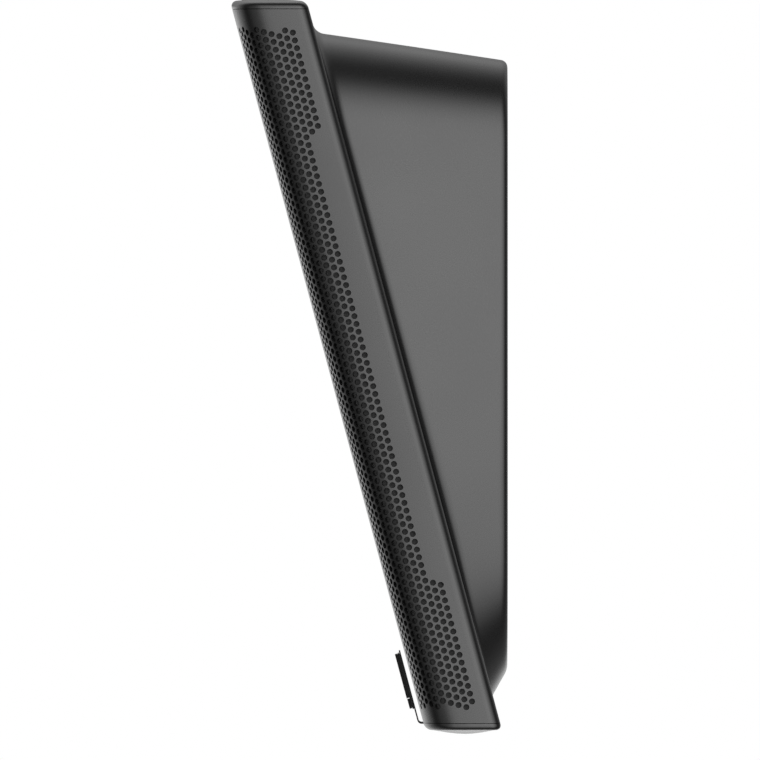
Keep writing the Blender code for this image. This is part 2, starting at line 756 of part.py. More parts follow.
def cap_openings(top_cap, bottom_cap):
    """Holes for the buttons, the shutter's slot, and the notch where the tab's strip enters."""
    for name, x in BUTTONS.items():
        cut(top_cap, prism(name + "_hole", [button_outline(x, 0.25)], "XY", 104, 116))
    slot = box("shutter_slot", (-2.6, KNOB_Y - 1.3, 104), (SHUTTER_OPEN_X + 2.6, KNOB_Y + 1.3, 116))
    cut(top_cap, slot)
    left, right = TAB_X - TAB_HALF_WIDTH - 0.6, TAB_X + TAB_HALF_WIDTH + 0.6
    front = rear_face_y(seam(-1)) - BODY_DEPTH / math.cos(TILT)
    cut(bottom_cap, box("strip_notch", (left, front - 3, seam(-1) - 1.15), (right, front + 7, seam(-1) + 1)))


# ---- Speakers ---------------------------------------------------------------------------------------------


def mirrored(side, low, high):
    """A stretch along X for the right or the left side."""
    return (low, high) if side > 0 else (-high, -low)


def speaker_side(side, frame):
    word = "right" if side > 0 else "left"
    low, high = mirrored(side, *SPEAKER_BOX_X)
    enclosure = box(
        f"speaker_box_{word}",
        (low, SPEAKER_BOX_Y[0], SPEAKER_BOX_Z[0]),
        (high, SPEAKER_BOX_Y[1], SPEAKER_BOX_Z[1]),
        "plain_black",
        frame,
    )

    def slug(name, width, length, low, high, finish=None):
        """A racetrack-shaped block around the driver's middle, from low to high on this side."""
        outline = racetrack(centre, width, length)
        return prism(f"{name}_{word}", [outline], "YZ", *mirrored(side, low, high), finish, frame)

    for kind, (z, length) in DRIVERS.items():
        centre = (DRIVER_MIDDLE_Y, z)
        cut(enclosure, slug(kind + "_pocket", 12.2, length - 2, 164.6, 173))

        basket = slug(kind + "_frame", 14.0, length, 171.3, 172.6, "dark_steel")
        join(basket, slug(kind + "_tub", 11.4, length - 2.8, 165.0, 171.6))
        cut(basket, slug(kind + "_hollow", 9.4, length - 4.8, 166.0, 174))
        magnet = f"{kind}_magnet_{word}"
        join(basket, cylinder(magnet, centre, 3.6, *mirrored(side, 165.5, 169.2), "X", None, frame))

        cone = slug(kind + "_cone", 8.9, length - 5.3, 171.6, 172.4, "rubber")
        join(cone, slug(kind + "_dome", 5.6, length - 10, 172.0, 173.6))
        coil = f"{kind}_coil_{word}"
        join(cone, cylinder(coil, centre, 2.6, *mirrored(side, 170.4, 172.0), "X", None, frame))


# ---- Front tab --------------------------------------------------------------------------------------------


def front_tab(frame):
    """The module in front of the glass: a J-shaped spring strip that carries a board, a cover and a plug."""
    left, right = TAB_X - TAB_HALF_WIDTH, TAB_X + TAB_HALF_WIDTH
    strip = 0.4
    leaf = -1.4
    bend = 1.15
    bottom = -110.45
    # Down the leaf, round the bend, then level (so turned back by TILT) into the notch of the bottom cap.
    path = [(leaf, TAB_TOP), (leaf, -104), (leaf, bottom)]
    turn = 90 - math.degrees(TILT)
    bend_arc = arc((leaf + bend, bottom), (bend, bend), 180, 180 + turn, 6)[1:]
    path += bend_arc
    level = Vector((math.cos(TILT), -math.sin(TILT)))
    path.append(tuple(Vector(bend_arc[-1]) + level * 4.0))
    prism("tab_strip", [strip_outline(path, strip)], "YZ", left, right, "dark_steel", frame)
    outer = leaf - strip / 2
    board = (outer - FINE_GAP - 0.35, outer - FINE_GAP)
    box("tab_board", (left, board[0], -106.8), (right, board[1], -89.4), "circuit_board", frame)
    cover_back = board[0] - FINE_GAP
    box("tab_cover", (left, cover_back - 0.85, -103.2), (right, cover_back, -89.6), "cap", frame)
    plug_low, plug_high = (left + 3, cover_back - 0.75, -106.5), (right - 3, cover_back, -103.6)
    box("tab_plug", plug_low, plug_high, "plain_black", frame)


# ---- Fasteners --------------------------------------------------------------------------------------------


def screw(name, place, seat, tip, frame):
    """A pan-head screw that points towards the glass: its head sits on seat and its shank ends at tip."""
    head = 1.1
    made = cylinder(name, place, SCREW_HEAD_RADIUS, seat, seat + head, "Y", "steel", frame)
    shank = cylinder(name + "_shank", place, SCREW_SHANK_RADIUS, tip, seat + 0.4, "Y", None, frame, 12)
    socket = cylinder(name + "_socket", place, 1.0, seat + 0.5, seat + 3, "Y", None, frame, 6)
    join(made, shank)
    return cut(made, socket)


def screws(frame):
    for i, place in enumerate(REAR_SCREW_PLACES):
        screw(f"back_screw_{i + 1}", place, BODY_DEPTH - 1.3, 12.0, frame)
    for i, place in enumerate(BOARD_SCREW_PLACES):
        screw(f"board_screw_{i + 1}", place, BOARD_LAYER[1] + 0.1, 9.3, frame)


def smooth_round_parts():
    for part in PARTS.objects:
        if part.type == "MESH":
            part.data.shade_smooth()
            part.data.set_sharp_from_angle(angle=math.radians(35))


def build():
    clear_scene()
    make_materials()
    frame = display_frame()
    for side in (-1, 1):
        side_grille(side, frame)
        speaker_side(side, frame)
    top_cap, bottom_cap = end_cap(1, frame), end_cap(-1, frame)
    cap_openings(top_cap, bottom_cap)
    rear_housing(frame)
    front_glass(frame)
    wall_plate()
    hold_down_slider()
    display_gasket(frame)
    screen_layers(frame)
    chassis(frame)
    boards(frame)
    sockets()
    antennas(frame)
    cables(frame)
    camera(frame)
    buttons()
    front_tab(frame)
    screws(frame)
    smooth_round_parts()


build()
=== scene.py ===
import json
import math

import bmesh
import bpy
from mathutils import Matrix, Vector


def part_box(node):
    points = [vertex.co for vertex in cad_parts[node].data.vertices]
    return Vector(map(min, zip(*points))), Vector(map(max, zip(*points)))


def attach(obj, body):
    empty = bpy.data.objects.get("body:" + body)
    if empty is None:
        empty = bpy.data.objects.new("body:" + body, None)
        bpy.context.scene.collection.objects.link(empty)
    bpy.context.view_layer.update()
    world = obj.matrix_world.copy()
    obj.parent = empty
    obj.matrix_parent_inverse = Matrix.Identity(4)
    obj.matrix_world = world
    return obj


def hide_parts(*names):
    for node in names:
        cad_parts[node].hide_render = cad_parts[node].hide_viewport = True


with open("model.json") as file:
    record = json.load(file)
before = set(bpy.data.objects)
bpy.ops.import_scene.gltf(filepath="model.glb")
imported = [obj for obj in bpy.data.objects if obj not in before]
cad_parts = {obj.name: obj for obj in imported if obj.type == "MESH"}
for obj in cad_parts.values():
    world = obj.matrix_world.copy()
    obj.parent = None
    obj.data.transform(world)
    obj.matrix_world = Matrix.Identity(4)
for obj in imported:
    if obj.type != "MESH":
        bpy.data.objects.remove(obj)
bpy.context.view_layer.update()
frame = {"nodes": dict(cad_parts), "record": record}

# ---- Sizes, in millimetres ----
# World frame: the wall is the plane Y = 0, the screen faces -Y, +Z is up.
# Display frame: the world frame turned by TILT about X; its Y = 0 is the face of the glass.

MM = 0.001
TILT = math.radians(15)

# The body and its level ends. SEAM_GAP is the gap between the CAD nodes, SEAM_REVEAL the one that shows.
HALF_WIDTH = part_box("side_grille_right")[1].x / MM
BODY_DEPTH = 22.3
SEAM_GAP = 0.3
SEAM_REVEAL = 0.1
BOTTOM_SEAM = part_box("side_grille_right")[0].z / MM - SEAM_GAP / 2
TOP_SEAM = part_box("side_grille_right")[1].z / MM + SEAM_GAP / 2
CAP_HEIGHT = 2.0
CAP_EDGE = 1.8
BODY_FOOT = BOTTOM_SEAM - CAP_HEIGHT
FOOT_TO_WALL = 1.9

# The caps' bulge in the middle, and how much of it the front and rear edges lose (-1 bottom cap, 1 top cap).
CROWN = BODY_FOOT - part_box("bottom_cap")[0].z / MM
CROWN_FLATTEN = {-1: 0.85, 1: 0.35}

# The body's section: a front corner that turns into a bowed side, and a small rear corner.
CORNER_WIDTH = 14.4
CORNER_DEPTH = 13.0
FRONT_POWER = 1.6
SIDE_POWER = 5.0
SIDE_BOW = 0.8
SIDE_WIDEST = 19.0
REAR_CORNER = 2.6
REAR_CORNER_LEAST = 0.35
FRONT_LIP = 162.3
REAR_LIP = 149.9
SKIN = 1.1

# The perforation: a lattice that is wider over the two drivers. Levels are world heights.
HOLE_PITCH = 2.4155
HOLE_RADIUS = 0.925
HOLE_COLUMNS = 11
WIDE_COLUMNS = 2
FIRST_COLUMN_DEPTH = 15.8
FIRST_HOLE = 99.0
FIRST_HOLE_LEVEL = 100.8
LAST_HOLE_LEVEL = -102.8
TOP_PATCH_ROWS = 12.6
BOTTOM_PATCH_ROWS = 70.4
ROWS_ABOVE = 8
ROWS_BELOW = 96

# The cloth behind the perforation.
CLOTH_CLEARANCE = 0.25
CLOTH_THICKNESS = 0.3
CLOTH_FRONT_X = 168.0
CLOTH_REAR_DEPTH = 19.5
CLOTH_TO_SEAM = 0.5

# The rear panel and the wedge. A pair is (at the wall, at the body).
PANEL_HALF_WIDTH = 149.6
PANEL_THICKNESS = 2.2
WEDGE_TOP = (92.0, 100.6)
WEDGE_HALF_WIDTH = (133.8, 137.0)
WEDGE_TOP_CORNER = (26.0, 30.0)
WEDGE_LOW_CORNERS_START = -50.0
WEDGE_CORNER_STEPS = 16
WEDGE_SIDE_STEPS = 10
WEDGE_EDGE = 1.9
WEDGE_EDGE_FADE = 1.5
WEDGE_FOOT_ROUND = 6.5
WEDGE_FOOT_FLAT = -90.5
WEDGE_FOOT_SLOPE = 1.8
WEDGE_FILLET = 2.4
WEDGE_SKIN = 2.4
HOLLOW_FOOT = -84.0
HOLLOW_INTO_BODY = 4.0
# Shares of the way from the wall to the body, close together where the section turns.
WEDGE_STATIONS = (0.0, 0.002, 0.005, 0.01, 0.017, 0.025, 0.034, 0.046, 0.06, 0.08, 0.11, 0.15, 0.2, 0.26,
                  0.34, 0.44, 0.54, 0.64, 0.74, 0.82, 0.88, 0.92, 0.945, 0.96, 0.972, 0.982, 0.99, 0.996, 1.0)

# The wall plate's recess and the cable pocket in the wedge's flat back. Corners are (x, z) or (x, y, z).
RECESS_LOW = (-72.6, -67.6)
RECESS_HIGH = (72.6, 52.6)
RECESS_DEPTH = 4.6
RECESS_CORNER = 3.0
RECESS_BEVEL = 0.5
POCKET_LOW = (-30.0, -48.0)
POCKET_HIGH = (30.0, -14.0)
POCKET_DEPTH = 18.6
POCKET_WALL = 2.0
HOOK_PLACES = [(x, z) for x in (-50, 50) for z in (-26, 34)]
HOOK_SLOT_LOW = (-8.0, -8.6)
HOOK_SLOT_HIGH = (8.0, 0.3)
SOCKET_OPENINGS = (((-24, -18.4, -15), (-10, -7.6, -11)),
                   ((-2.5, -19.4, -15), (6.5, -15.6, -11)),
                   ((14, -18.2, -15), (24, -9, -11)))
POST_X, POST_Z, POST_RADIUS, POST_END = 27.0, 25.0, 2.5, -20.4
RAIL_X = (12.4, 14.8)
RAIL_Z = (-66.0, -51.5)
RAIL_TOP = -2.1

# The four back screws: the radius and depth of each shank's hole and each head's seat.
BACK_SCREWS = 4
SCREW_LEVEL = 92.0
SCREW_HOLE = (1.5, 4.0)
SCREW_SEAT = (2.8, 1.4)

# Buttons, with the mark on each, and the camera shutter's slot in the top cap.
BUTTON_MARKS = {"volume_up": "plus", "volume_down": "minus", "mute": "dot"}
MARK_BARS = {"plus": [(1.1, 0.22), (0.22, 1.1)], "minus": [(1.1, 0.22)], "dot": [(0.45, 0.45)]}
KEY_HALF = (4.6, 1.9)
KEY_GAP = 0.25
KEY_ROUND = 0.35
KEY_DISH = ((0.7, 0.03), (1.0, 0.08), (1.4, 0.12), (1.8, 0.14))
FLANGE_HEIGHT = 1.1
FLANGE_MARGIN = 0.7
OPENING_LEVELS = (104, 116)
SHUTTER_TRAVEL = 9.0
SHUTTER_SLOT_HALF = 1.3
SHUTTER_SLOT_MARGIN = 2.6
KNOB_HALF_DEPTH = 1.0

# The notch in the bottom cap that the tab's strip leaves through.
NOTCH_MARGIN = 0.5
NOTCH_HEIGHT = 1.1
NOTCH_DEPTH = 7.0

# The glass, the ink behind it and the picture. Corners and places are (across, up) in the display frame.
GLASS_HALF_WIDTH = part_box("front_glass")[1].x / MM
ACTIVE_AREA = ((-154.7, -80.0), (154.7, 94.0))
CAMERA_PLACE = (0.0, 101.4)
CAMERA_WINDOW = 2.3
PRINT_INSET = 0.4
PRINT_TO_SEAM = 1.2
PRINT_DEPTH = 1.65
PRINT_THICKNESS = 0.04
HILLS = ((-10, 70, 16, (0.06, 0.07, 0.13, 1.0)),
         (-28, 45, 12, (0.035, 0.045, 0.09, 1.0)),
         (-46, 60, 9, (0.015, 0.022, 0.05, 1.0)))
CLOCK_X, CLOCK_Z, CLOCK_RADIUS = -96.0, 32.0, 36.0
CLOCK_HANDS = ((305, 19.0, 1.1), (52, 27.0, 0.75))
TILE_COLOURS = ((0.5, 0.26, 0.1), (0.12, 0.34, 0.33), (0.3, 0.2, 0.42), (0.2, 0.32, 0.16))
TILE_FIRST, TILE_PITCH, TILE_Z = -109.5, 73.0, -56.0

# Soft edges on the CAD nodes that stay in view.
SOFT_EDGES = {"front_glass": 0.35, "wall_plate": 0.25, "tab_cover": 0.22, "tab_board": 0.06, "tab_plug": 0.2,
              "camera_shutter": 0.15, "hold_down_slider": 0.3, "ethernet_jack": 0.2, "power_socket": 0.25,
              "transformer": 0.5, "radio_shield": 0.3, "camera_module": 0.25, "speaker_box_left": 0.5,
              "speaker_box_right": 0.5}

# ---- Light and camera ----
# The light comes from the world as a function of direction: x to the display's right, y to the wall, z up.
# An edge or a fade is a (from, to) range of one of these; a share is what is left past it.

# The key, a broad panel to the right.
KEY_LIGHT = 4.9
KEY_EDGE = (0.25, 0.98)
KEY_REACH_BELOW = 0.22
KEY_FRONT_FADE = (-0.38, 0.25)
KEY_FRONT_SHARE = 0.09
KEY_WALL_FADE = (-0.2, 0.55)
KEY_WALL_SHARE = 0.45

# The white surround to the left, which shows in surfaces seen at a low angle.
SURROUND_LIGHT = 1.0
SURROUND_EDGE = (-0.75, 0.05)
SURROUND_FRONT_FADE = (-0.9, -0.3)
SURROUND_FRONT_SHARE = 0.8
SURROUND_WALL_FADE = (0.15, 0.5)
SURROUND_WALL_SHARE = 0.4
SURROUND_BELOW_FADE = (-0.5, -0.1)
SURROUND_BELOW_SHARE = 0.42
BEHIND_EDGE = (-0.97, -0.75)
BEHIND_LEVEL_FADE = (-0.05, 0.05)
BEHIND_GAIN = (0.35, -0.65)

DIM_LIGHT = 0.11
FLOOR_GLOW = 0.42
FLOOR_LEVEL = -0.42

CAMERA_DISTANCE = 9.0
FRAME_WIDTH = 228.0
FRAME_MIDDLE = (-38.54, -4.5)


def rear_face_y(z):
    return -(FOOT_TO_WALL + (z - BODY_FOOT) * math.tan(TILT))


GLASS_ORIGIN_Y = rear_face_y(0) - BODY_DEPTH / math.cos(TILT)
DISPLAY_TURN = Matrix.Translation((0, GLASS_ORIGIN_Y * MM, 0)) @ Matrix.Rotation(TILT, 4, "X")


def in_metres(x, y, z):
    return Vector((x, y, z)) * MM


def from_display(x, y, z):
    """A point given in the display frame, in millimetres, as a world position in metres."""
    return DISPLAY_TURN @ in_metres(x, y, z)


def crown(end, x, y):
    """How far a cap's outer face bulges at a place of the body's section: most in the middle."""
    across = (y - BODY_DEPTH / 2) / (BODY_DEPTH / 2)
    return CROWN * (1 - (x / HALF_WIDTH) ** 2) * (1 - CROWN_FLATTEN[end] * across ** 2)


# ---- Outlines ----


def corner_points(inset, steps):
    """The front corner and the gently bowed side of the body's section, front to back."""
    points = []
    for i in range(steps + 1):
        angle = math.pi / 2 * i / steps
        across = math.sin(angle) ** (2 / FRONT_POWER) if i else 0.0
        forward = math.cos(angle) ** (2 / SIDE_POWER) if i < steps else 0.0
        x = HALF_WIDTH - CORNER_WIDTH + (CORNER_WIDTH - inset) * across
        points.append((x, CORNER_DEPTH - (CORNER_DEPTH - inset) * forward))
    for y in even_points(CORNER_DEPTH, SIDE_WIDEST, 6)[1:]:
        points.append((HALF_WIDTH - inset, y))
    return [(x - SIDE_BOW * (1 - y / SIDE_WIDEST) ** 2, y) for x, y in points]


def rear_corner_points(inset, steps):
    radius = max(REAR_CORNER - inset, REAR_CORNER_LEAST)
    centre_x, centre_y = HALF_WIDTH - inset - radius, BODY_DEPTH - inset - radius
    points = []
    for i in range(steps + 1):
        angle = math.pi / 2 * i / steps
        points.append((centre_x + radius * math.cos(angle), centre_y + radius * math.sin(angle)))
    return points


def even_points(low, high, count):
    return [low + (high - low) * i / count for i in range(count + 1)]


def rounded_rectangle(low, high, radius, steps, top_radius=None, side_steps=1):
    """Points and outward normals, anticlockwise from the lower right corner; side_steps splits the sides."""
    (x0, y0), (x1, y1) = low, high
    top = radius if top_radius is None else top_radius
    corners = [(x1 - radius, y0 + radius, radius, -90), (x1 - top, y1 - top, top, 0),
               (x0 + top, y1 - top, top, 90), (x0 + radius, y0 + radius, radius, 180)]
    made = []
    for cx, cy, size, start in corners:
        for i in range(steps + 1):
            angle = math.radians(start + 90 * i / steps)
            normal = (math.cos(angle), math.sin(angle))
            made.append(((cx + size * normal[0], cy + size * normal[1]), normal))
    if side_steps == 1:
        return made
    split = []
    for i, (point, normal) in enumerate(made):
        split.append((point, normal))
        if i % (steps + 1) == steps:
            after = made[(i + 1) % len(made)][0]
            for k in range(1, side_steps):
                place = tuple(Vector(point).lerp(Vector(after), k / side_steps))
                split.append((place, normal))
    return split


# ---- Objects and modifiers ----


def object_from(shape, name, material, body="display"):
    """A piece made from a bmesh in world metres."""
    mesh = bpy.data.meshes.new(name)
    bmesh.ops.recalc_face_normals(shape, faces=shape.faces)
    shape.to_mesh(mesh)
    shape.free()
    mesh.materials.append(material)
    made = bpy.data.objects.new(name, mesh)
    finish_shading(made, 35)
    bpy.context.scene.collection.objects.link(made)
    if body:
        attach(made, body)
    return made


def loft(rings):
    """A skin through rings of equally many points, closed by a face at each end."""
    shape = bmesh.new()
    layers = [[shape.verts.new(point) for point in ring] for ring in rings]
    for near, far in zip(layers, layers[1:]):
        for i in range(len(near)):
            j = (i + 1) % len(near)
            shape.faces.new((near[i], near[j], far[j], far[i]))
    shape.faces.new(layers[0][::-1])
    shape.faces.new(layers[-1])
    bmesh.ops.recalc_face_normals(shape, faces=shape.faces)
    return shape


def block(low, high):
    """A box cutter in world millimetres."""
    rings = []
    for y in (low[1], high[1]):
        corners = ((low[0], low[2]), (high[0], low[2]), (high[0], high[2]), (low[0], high[2]))
        rings.append([in_metres(x, y, z) for x, z in corners])
    return loft(rings)


def rounded_block(low, high, radius, stations, steps=6):
    """A rounded-rectangle cutter in the wall's plane: stations are (y, growth) pairs."""
    rings = []
    for y, grow in stations:
        outline = rounded_rectangle((low[0] - grow, low[1] - grow), (high[0] + grow, high[1] + grow),
                                    radius + grow, steps)
        rings.append([in_metres(x, y, z) for (x, z), _ in outline])
    return loft(rings)


def circle(centre, radius, steps):
    angles = [2 * math.pi * i / steps for i in range(steps)]
    return [(centre[0] + radius * math.cos(a), centre[1] + radius * math.sin(a)) for a in angles]


def rod(centre, radius, low, high, to_world, steps=32):
    """A round cutter along Y, given in the frame that to_world turns into world metres."""
    return loft([[to_world(x, y, z) for x, z in circle(centre, radius, steps)] for y in (low, high)])


def apply_boolean(target, shape, operation):
    mesh = bpy.data.meshes.new("tool")
    shape.to_mesh(mesh)
    shape.free()
    tool = bpy.data.objects.new("tool", mesh)
    bpy.context.scene.collection.objects.link(tool)
    modifier = target.modifiers.new("tool", "BOOLEAN")
    modifier.operation = operation
    modifier.solver = "EXACT"
    modifier.object = tool
    bake(target)
    bpy.data.objects.remove(tool)
    bpy.data.meshes.remove(mesh)


def bake(target):
    """Replaces the object's mesh with the result of its modifiers."""
    graph = bpy.context.evaluated_depsgraph_get()
    made = bpy.data.meshes.new_from_object(target.evaluated_get(graph))
    target.modifiers.clear()
    target.data = made


def cut(target, *shapes):
    for shape in shapes:
        apply_boolean(target, shape, "DIFFERENCE")


def join(target, *shapes):
    for shape in shapes:
        apply_boolean(target, shape, "UNION")


def finish_shading(target, angle):
    target.data.shade_smooth()
    target.data.set_sharp_from_angle(angle=math.radians(angle))


def soften(node, width):
    """A small bevel on a CAD node's edges, kept as a modifier."""
    modifier = node.modifiers.new("soft_edges", "BEVEL")
    modifier.width = width * MM
    modifier.segments = 2
    modifier.limit_method = "ANGLE"
    modifier.angle_limit = math.radians(40)
    modifier.harden_normals = True


# ---- Material building blocks ----


class Nodes:
    """A node tree with short calls for the nodes that the materials and the surroundings share."""

    def __init__(self, tree):
        self.tree = tree

    def node(self, kind, inputs=None, **settings):
        made = self.tree.nodes.new(kind)
        for key, value in settings.items():
            setattr(made, key, value)
        for key, value in (inputs or {}).items():
            self.feed(made.inputs[key], value)
        return made

    def feed(self, socket, value):
        if isinstance(value, bpy.types.NodeSocket):
            self.tree.links.new(value, socket)
        else:
            socket.default_value = value

    def math(self, operation, a, b=0.0, c=0.0):
        return self.node("ShaderNodeMath", {0: a, 1: b, 2: c}, operation=operation).outputs[0]

    def product(self, first, *others):
        for other in others:
            first = self.math("MULTIPLY", first, other)
        return first

    def ramp(self, value, low, high, out_low, out_high, kind="LINEAR"):
        made = self.node("ShaderNodeMapRange", {
            "Value": value, "From Min": low, "From Max": high, "To Min": out_low, "To Max": out_high},
            interpolation_type=kind)
        return made.outputs["Result"]


class Shader(Nodes):
    """A new material's node tree, with the building blocks that the finishes below are made of."""

    def __init__(self, name):
        self.material = bpy.data.materials.new(name)
        self.material.use_nodes = True
        super().__init__(self.material.node_tree)
        self.surface = self.tree.nodes["Principled BSDF"]
        self.output = self.tree.nodes["Material Output"]
        self.place = self.node("ShaderNodeTexCoord").outputs["Object"]

    def noise(self, size_mm, detail=3.0, roughness=0.5, place=None):
        made = self.node("ShaderNodeTexNoise", {
            "Vector": place or self.place, "Scale": 1 / (size_mm * MM),
            "Detail": detail, "Roughness": roughness})
        return made.outputs["Fac"]

    def blend(self, factor, a, b):
        made = self.node("ShaderNodeMix", data_type="RGBA")
        self.feed(made.inputs[0], factor)
        self.feed(made.inputs[6], a)
        self.feed(made.inputs[7], b)
        return made.outputs[2]

    def weave(self, scale, directions, distortion=0.0):
        """Two crossing sets of threads, 1 on top of a crossing."""
        inputs = {"Vector": self.place, "Scale": scale, "Distortion": distortion}
        threads = [self.node("ShaderNodeTexWave", inputs, bands_direction=way) for way in directions]
        return self.product(*[thread.outputs["Fac"] for thread in threads])

    def edge(self, radius_mm):
        """1 on worn edges, 0 on open faces: where the rounded normal leaves the true one."""
        rounded = self.node("ShaderNodeBevel", {"Radius": radius_mm * MM}, samples=4)
        geometry = self.node("ShaderNodeNewGeometry")
        dot = self.node("ShaderNodeVectorMath", {0: rounded.outputs[0], 1: geometry.outputs["Normal"]},
                        operation="DOT_PRODUCT")
        return self.ramp(dot.outputs["Value"], 0.995, 0.85, 0.0, 1.0)

    def bump(self, height, strength, distance_mm):
        inputs = {"Height": height, "Strength": strength, "Distance": distance_mm * MM}
        return self.node("ShaderNodeBump", inputs).outputs["Normal"]

    def set(self, **values):
        names = {"colour": "Base Color", "roughness": "Roughness", "metallic": "Metallic", "normal": "Normal",
                 "coat": "Coat Weight", "specular": "Specular IOR Level", "sheen": "Sheen Weight",
                 "emission": "Emission Color", "glow": "Emission Strength"}
        for key, value in values.items():
            self.feed(self.surface.inputs[names[key]], value)
        return self.material


def grey(value, tint=0.0):
    return (value, value, value * (1 + tint), 1.0)


def moulded_plastic(name, tone, roughness, grain_mm=0.25, wear=0.25, specular=0.8):
    """Satin moulded plastic: fine spark-eroded grain, faint cloudiness, and edges polished by handling."""
    shader = Shader(name)
    cloud = shader.noise(38.0, 2.0)
    speck = shader.noise(grain_mm * 2.5, 2.0)
    grain = shader.noise(grain_mm, 3.0, 0.6)
    worn = shader.edge(0.5)
    base = shader.blend(shader.ramp(cloud, 0.3, 0.7, 0.0, 1.0), grey(tone * 0.95), grey(tone * 1.05, 0.02))
    base = shader.blend(shader.math("MULTIPLY", speck, 0.12), base, grey(tone * 1.35))
    base = shader.blend(shader.math("MULTIPLY", worn, wear), base, grey(tone * 1.8))
    rough = shader.math("ADD", shader.ramp(grain, 0.3, 0.7, -0.04, 0.04), roughness)
    rough = shader.math("ADD", rough, shader.ramp(cloud, 0.3, 0.7, -0.02, 0.02))
    rough = shader.math("SUBTRACT", rough, shader.math("MULTIPLY", worn, 0.1))
    normal = shader.bump(grain, 0.35, 0.004)
    return shader.set(colour=base, roughness=rough, normal=normal, specular=specular)


def thin_glass(name):
    """The clear cover glass: a mirror at grazing angles, clear elsewhere, with faint smears."""
    shader = Shader(name)
    smear = shader.noise(22.0, 4.0, 0.6)
    streak = shader.noise(3.0, 2.0)
    rough = shader.math("ADD", shader.ramp(smear, 0.45, 0.75, 0.015, 0.09),
                        shader.math("MULTIPLY", streak, 0.01))
    normal = shader.bump(shader.noise(60.0, 1.0), 0.04, 0.05)
    mirror = shader.node("ShaderNodeBsdfGlossy", {"Roughness": rough, "Normal": normal, "Color": grey(0.95)})
    clear = shader.node("ShaderNodeBsdfTransparent", {"Color": (0.93, 0.95, 0.94, 1.0)})
    # Only the outer face mirrors: rays go straight through, so the inner face would reflect them all.
    fresnel = shader.node("ShaderNodeFresnel", {"IOR": 1.5, "Normal": normal}).outputs[0]
    behind = shader.node("ShaderNodeNewGeometry").outputs["Backfacing"]
    share = shader.math("MULTIPLY", fresnel, shader.math("SUBTRACT", 1.0, behind))
    mix = shader.node("ShaderNodeMixShader", {0: share, 1: clear.outputs[0], 2: mirror.outputs[0]})
    shader.feed(shader.output.inputs["Surface"], mix.outputs[0])
    shader.tree.nodes.remove(shader.surface)
    return shader.material


def black_ink(name):
    """Screen-printed ink with faint flecks."""
    shader = Shader(name)
    fleck = shader.noise(0.4, 2.0)
    colour = shader.blend(shader.ramp(fleck, 0.4, 0.7, 0.0, 1.0), grey(0.004), grey(0.007))
    return shader.set(colour=colour, roughness=shader.ramp(fleck, 0.3, 0.7, 0.3, 0.4),
                      normal=shader.bump(fleck, 0.1, 0.005))


def coated_steel(name, tone, roughness, wear=1.0):
    """Powder-coated steel: orange-peel bumps and bare metal where edges have rubbed."""
    shader = Shader(name)
    peel = shader.noise(1.1, 2.0)
    cloud = shader.noise(25.0, 2.0)
    patches = shader.ramp(shader.noise(2.5, 3.0), 0.5, 0.62, 0.0, 1.0)
    worn = shader.math("MULTIPLY", shader.math("MULTIPLY", shader.edge(0.35), patches), wear)
    colour = shader.blend(cloud, grey(tone * 0.85), grey(tone * 1.15))
    colour = shader.blend(worn, colour, grey(0.42))
    rough = shader.math("ADD", shader.ramp(peel, 0.3, 0.7, -0.05, 0.05), roughness)
    return shader.set(colour=colour, roughness=rough, metallic=shader.math("MULTIPLY", worn, 0.9),
                      normal=shader.bump(peel, 0.5, 0.03))


def bare_metal(name, tone, roughness, stretch):
    """Rolled or plated metal: lines along the rolling direction and a few dull patches."""
    shader = Shader(name)
    turned = shader.node("ShaderNodeMapping", {"Vector": shader.place, "Scale": stretch}).outputs[0]
    lines = shader.noise(0.6, 4.0, 0.6, place=turned)
    patch = shader.noise(14.0, 3.0)
    colour = shader.blend(patch, grey(tone * 0.9), grey(tone * 1.08))
    rubbed = shader.math("MULTIPLY", shader.edge(0.3), 0.5)
    colour = shader.blend(rubbed, colour, grey(min(tone * 1.3, 0.95)))
    rough = shader.math("ADD", shader.ramp(lines, 0.3, 0.7, -0.07, 0.07), roughness)
    rough = shader.math("ADD", rough, shader.ramp(patch, 0.4, 0.7, 0.0, 0.08))
    return shader.set(colour=colour, roughness=rough, metallic=1.0, normal=shader.bump(lines, 0.25, 0.01))


def circuit_board(name):
    """A circuit board: solder mask with copper tracks under it and a scatter of small pads."""
    shader = Shader(name)
    tracks = shader.node("ShaderNodeTexBrick", {
        "Vector": shader.place, "Scale": 420.0, "Mortar Size": 0.012,
        "Color1": grey(0.0), "Color2": grey(0.15), "Mortar": grey(1.0)})
    cells = shader.node("ShaderNodeTexVoronoi", {"Vector": shader.place, "Scale": 330.0})
    pad = shader.ramp(cells.outputs["Distance"], 0.16, 0.13, 0.0, 1.0)
    cloud = shader.noise(9.0, 2.0)
    colour = shader.blend(cloud, (0.008, 0.075, 0.035, 1.0), (0.014, 0.12, 0.055, 1.0))
    under_mask = shader.math("MULTIPLY", tracks.outputs["Color"], 0.5)
    colour = shader.blend(under_mask, colour, (0.03, 0.2, 0.09, 1.0))
    colour = shader.blend(pad, colour, (0.6, 0.55, 0.42, 1.0))
    rough = shader.math("ADD", shader.math("MULTIPLY", pad, -0.12), shader.ramp(cloud, 0.3, 0.7, 0.35, 0.45))
    height = shader.math("ADD", tracks.outputs["Color"], pad)
    return shader.set(colour=colour, roughness=rough, metallic=shader.math("MULTIPLY", pad, 0.8),
                      normal=shader.bump(height, 0.4, 0.03))


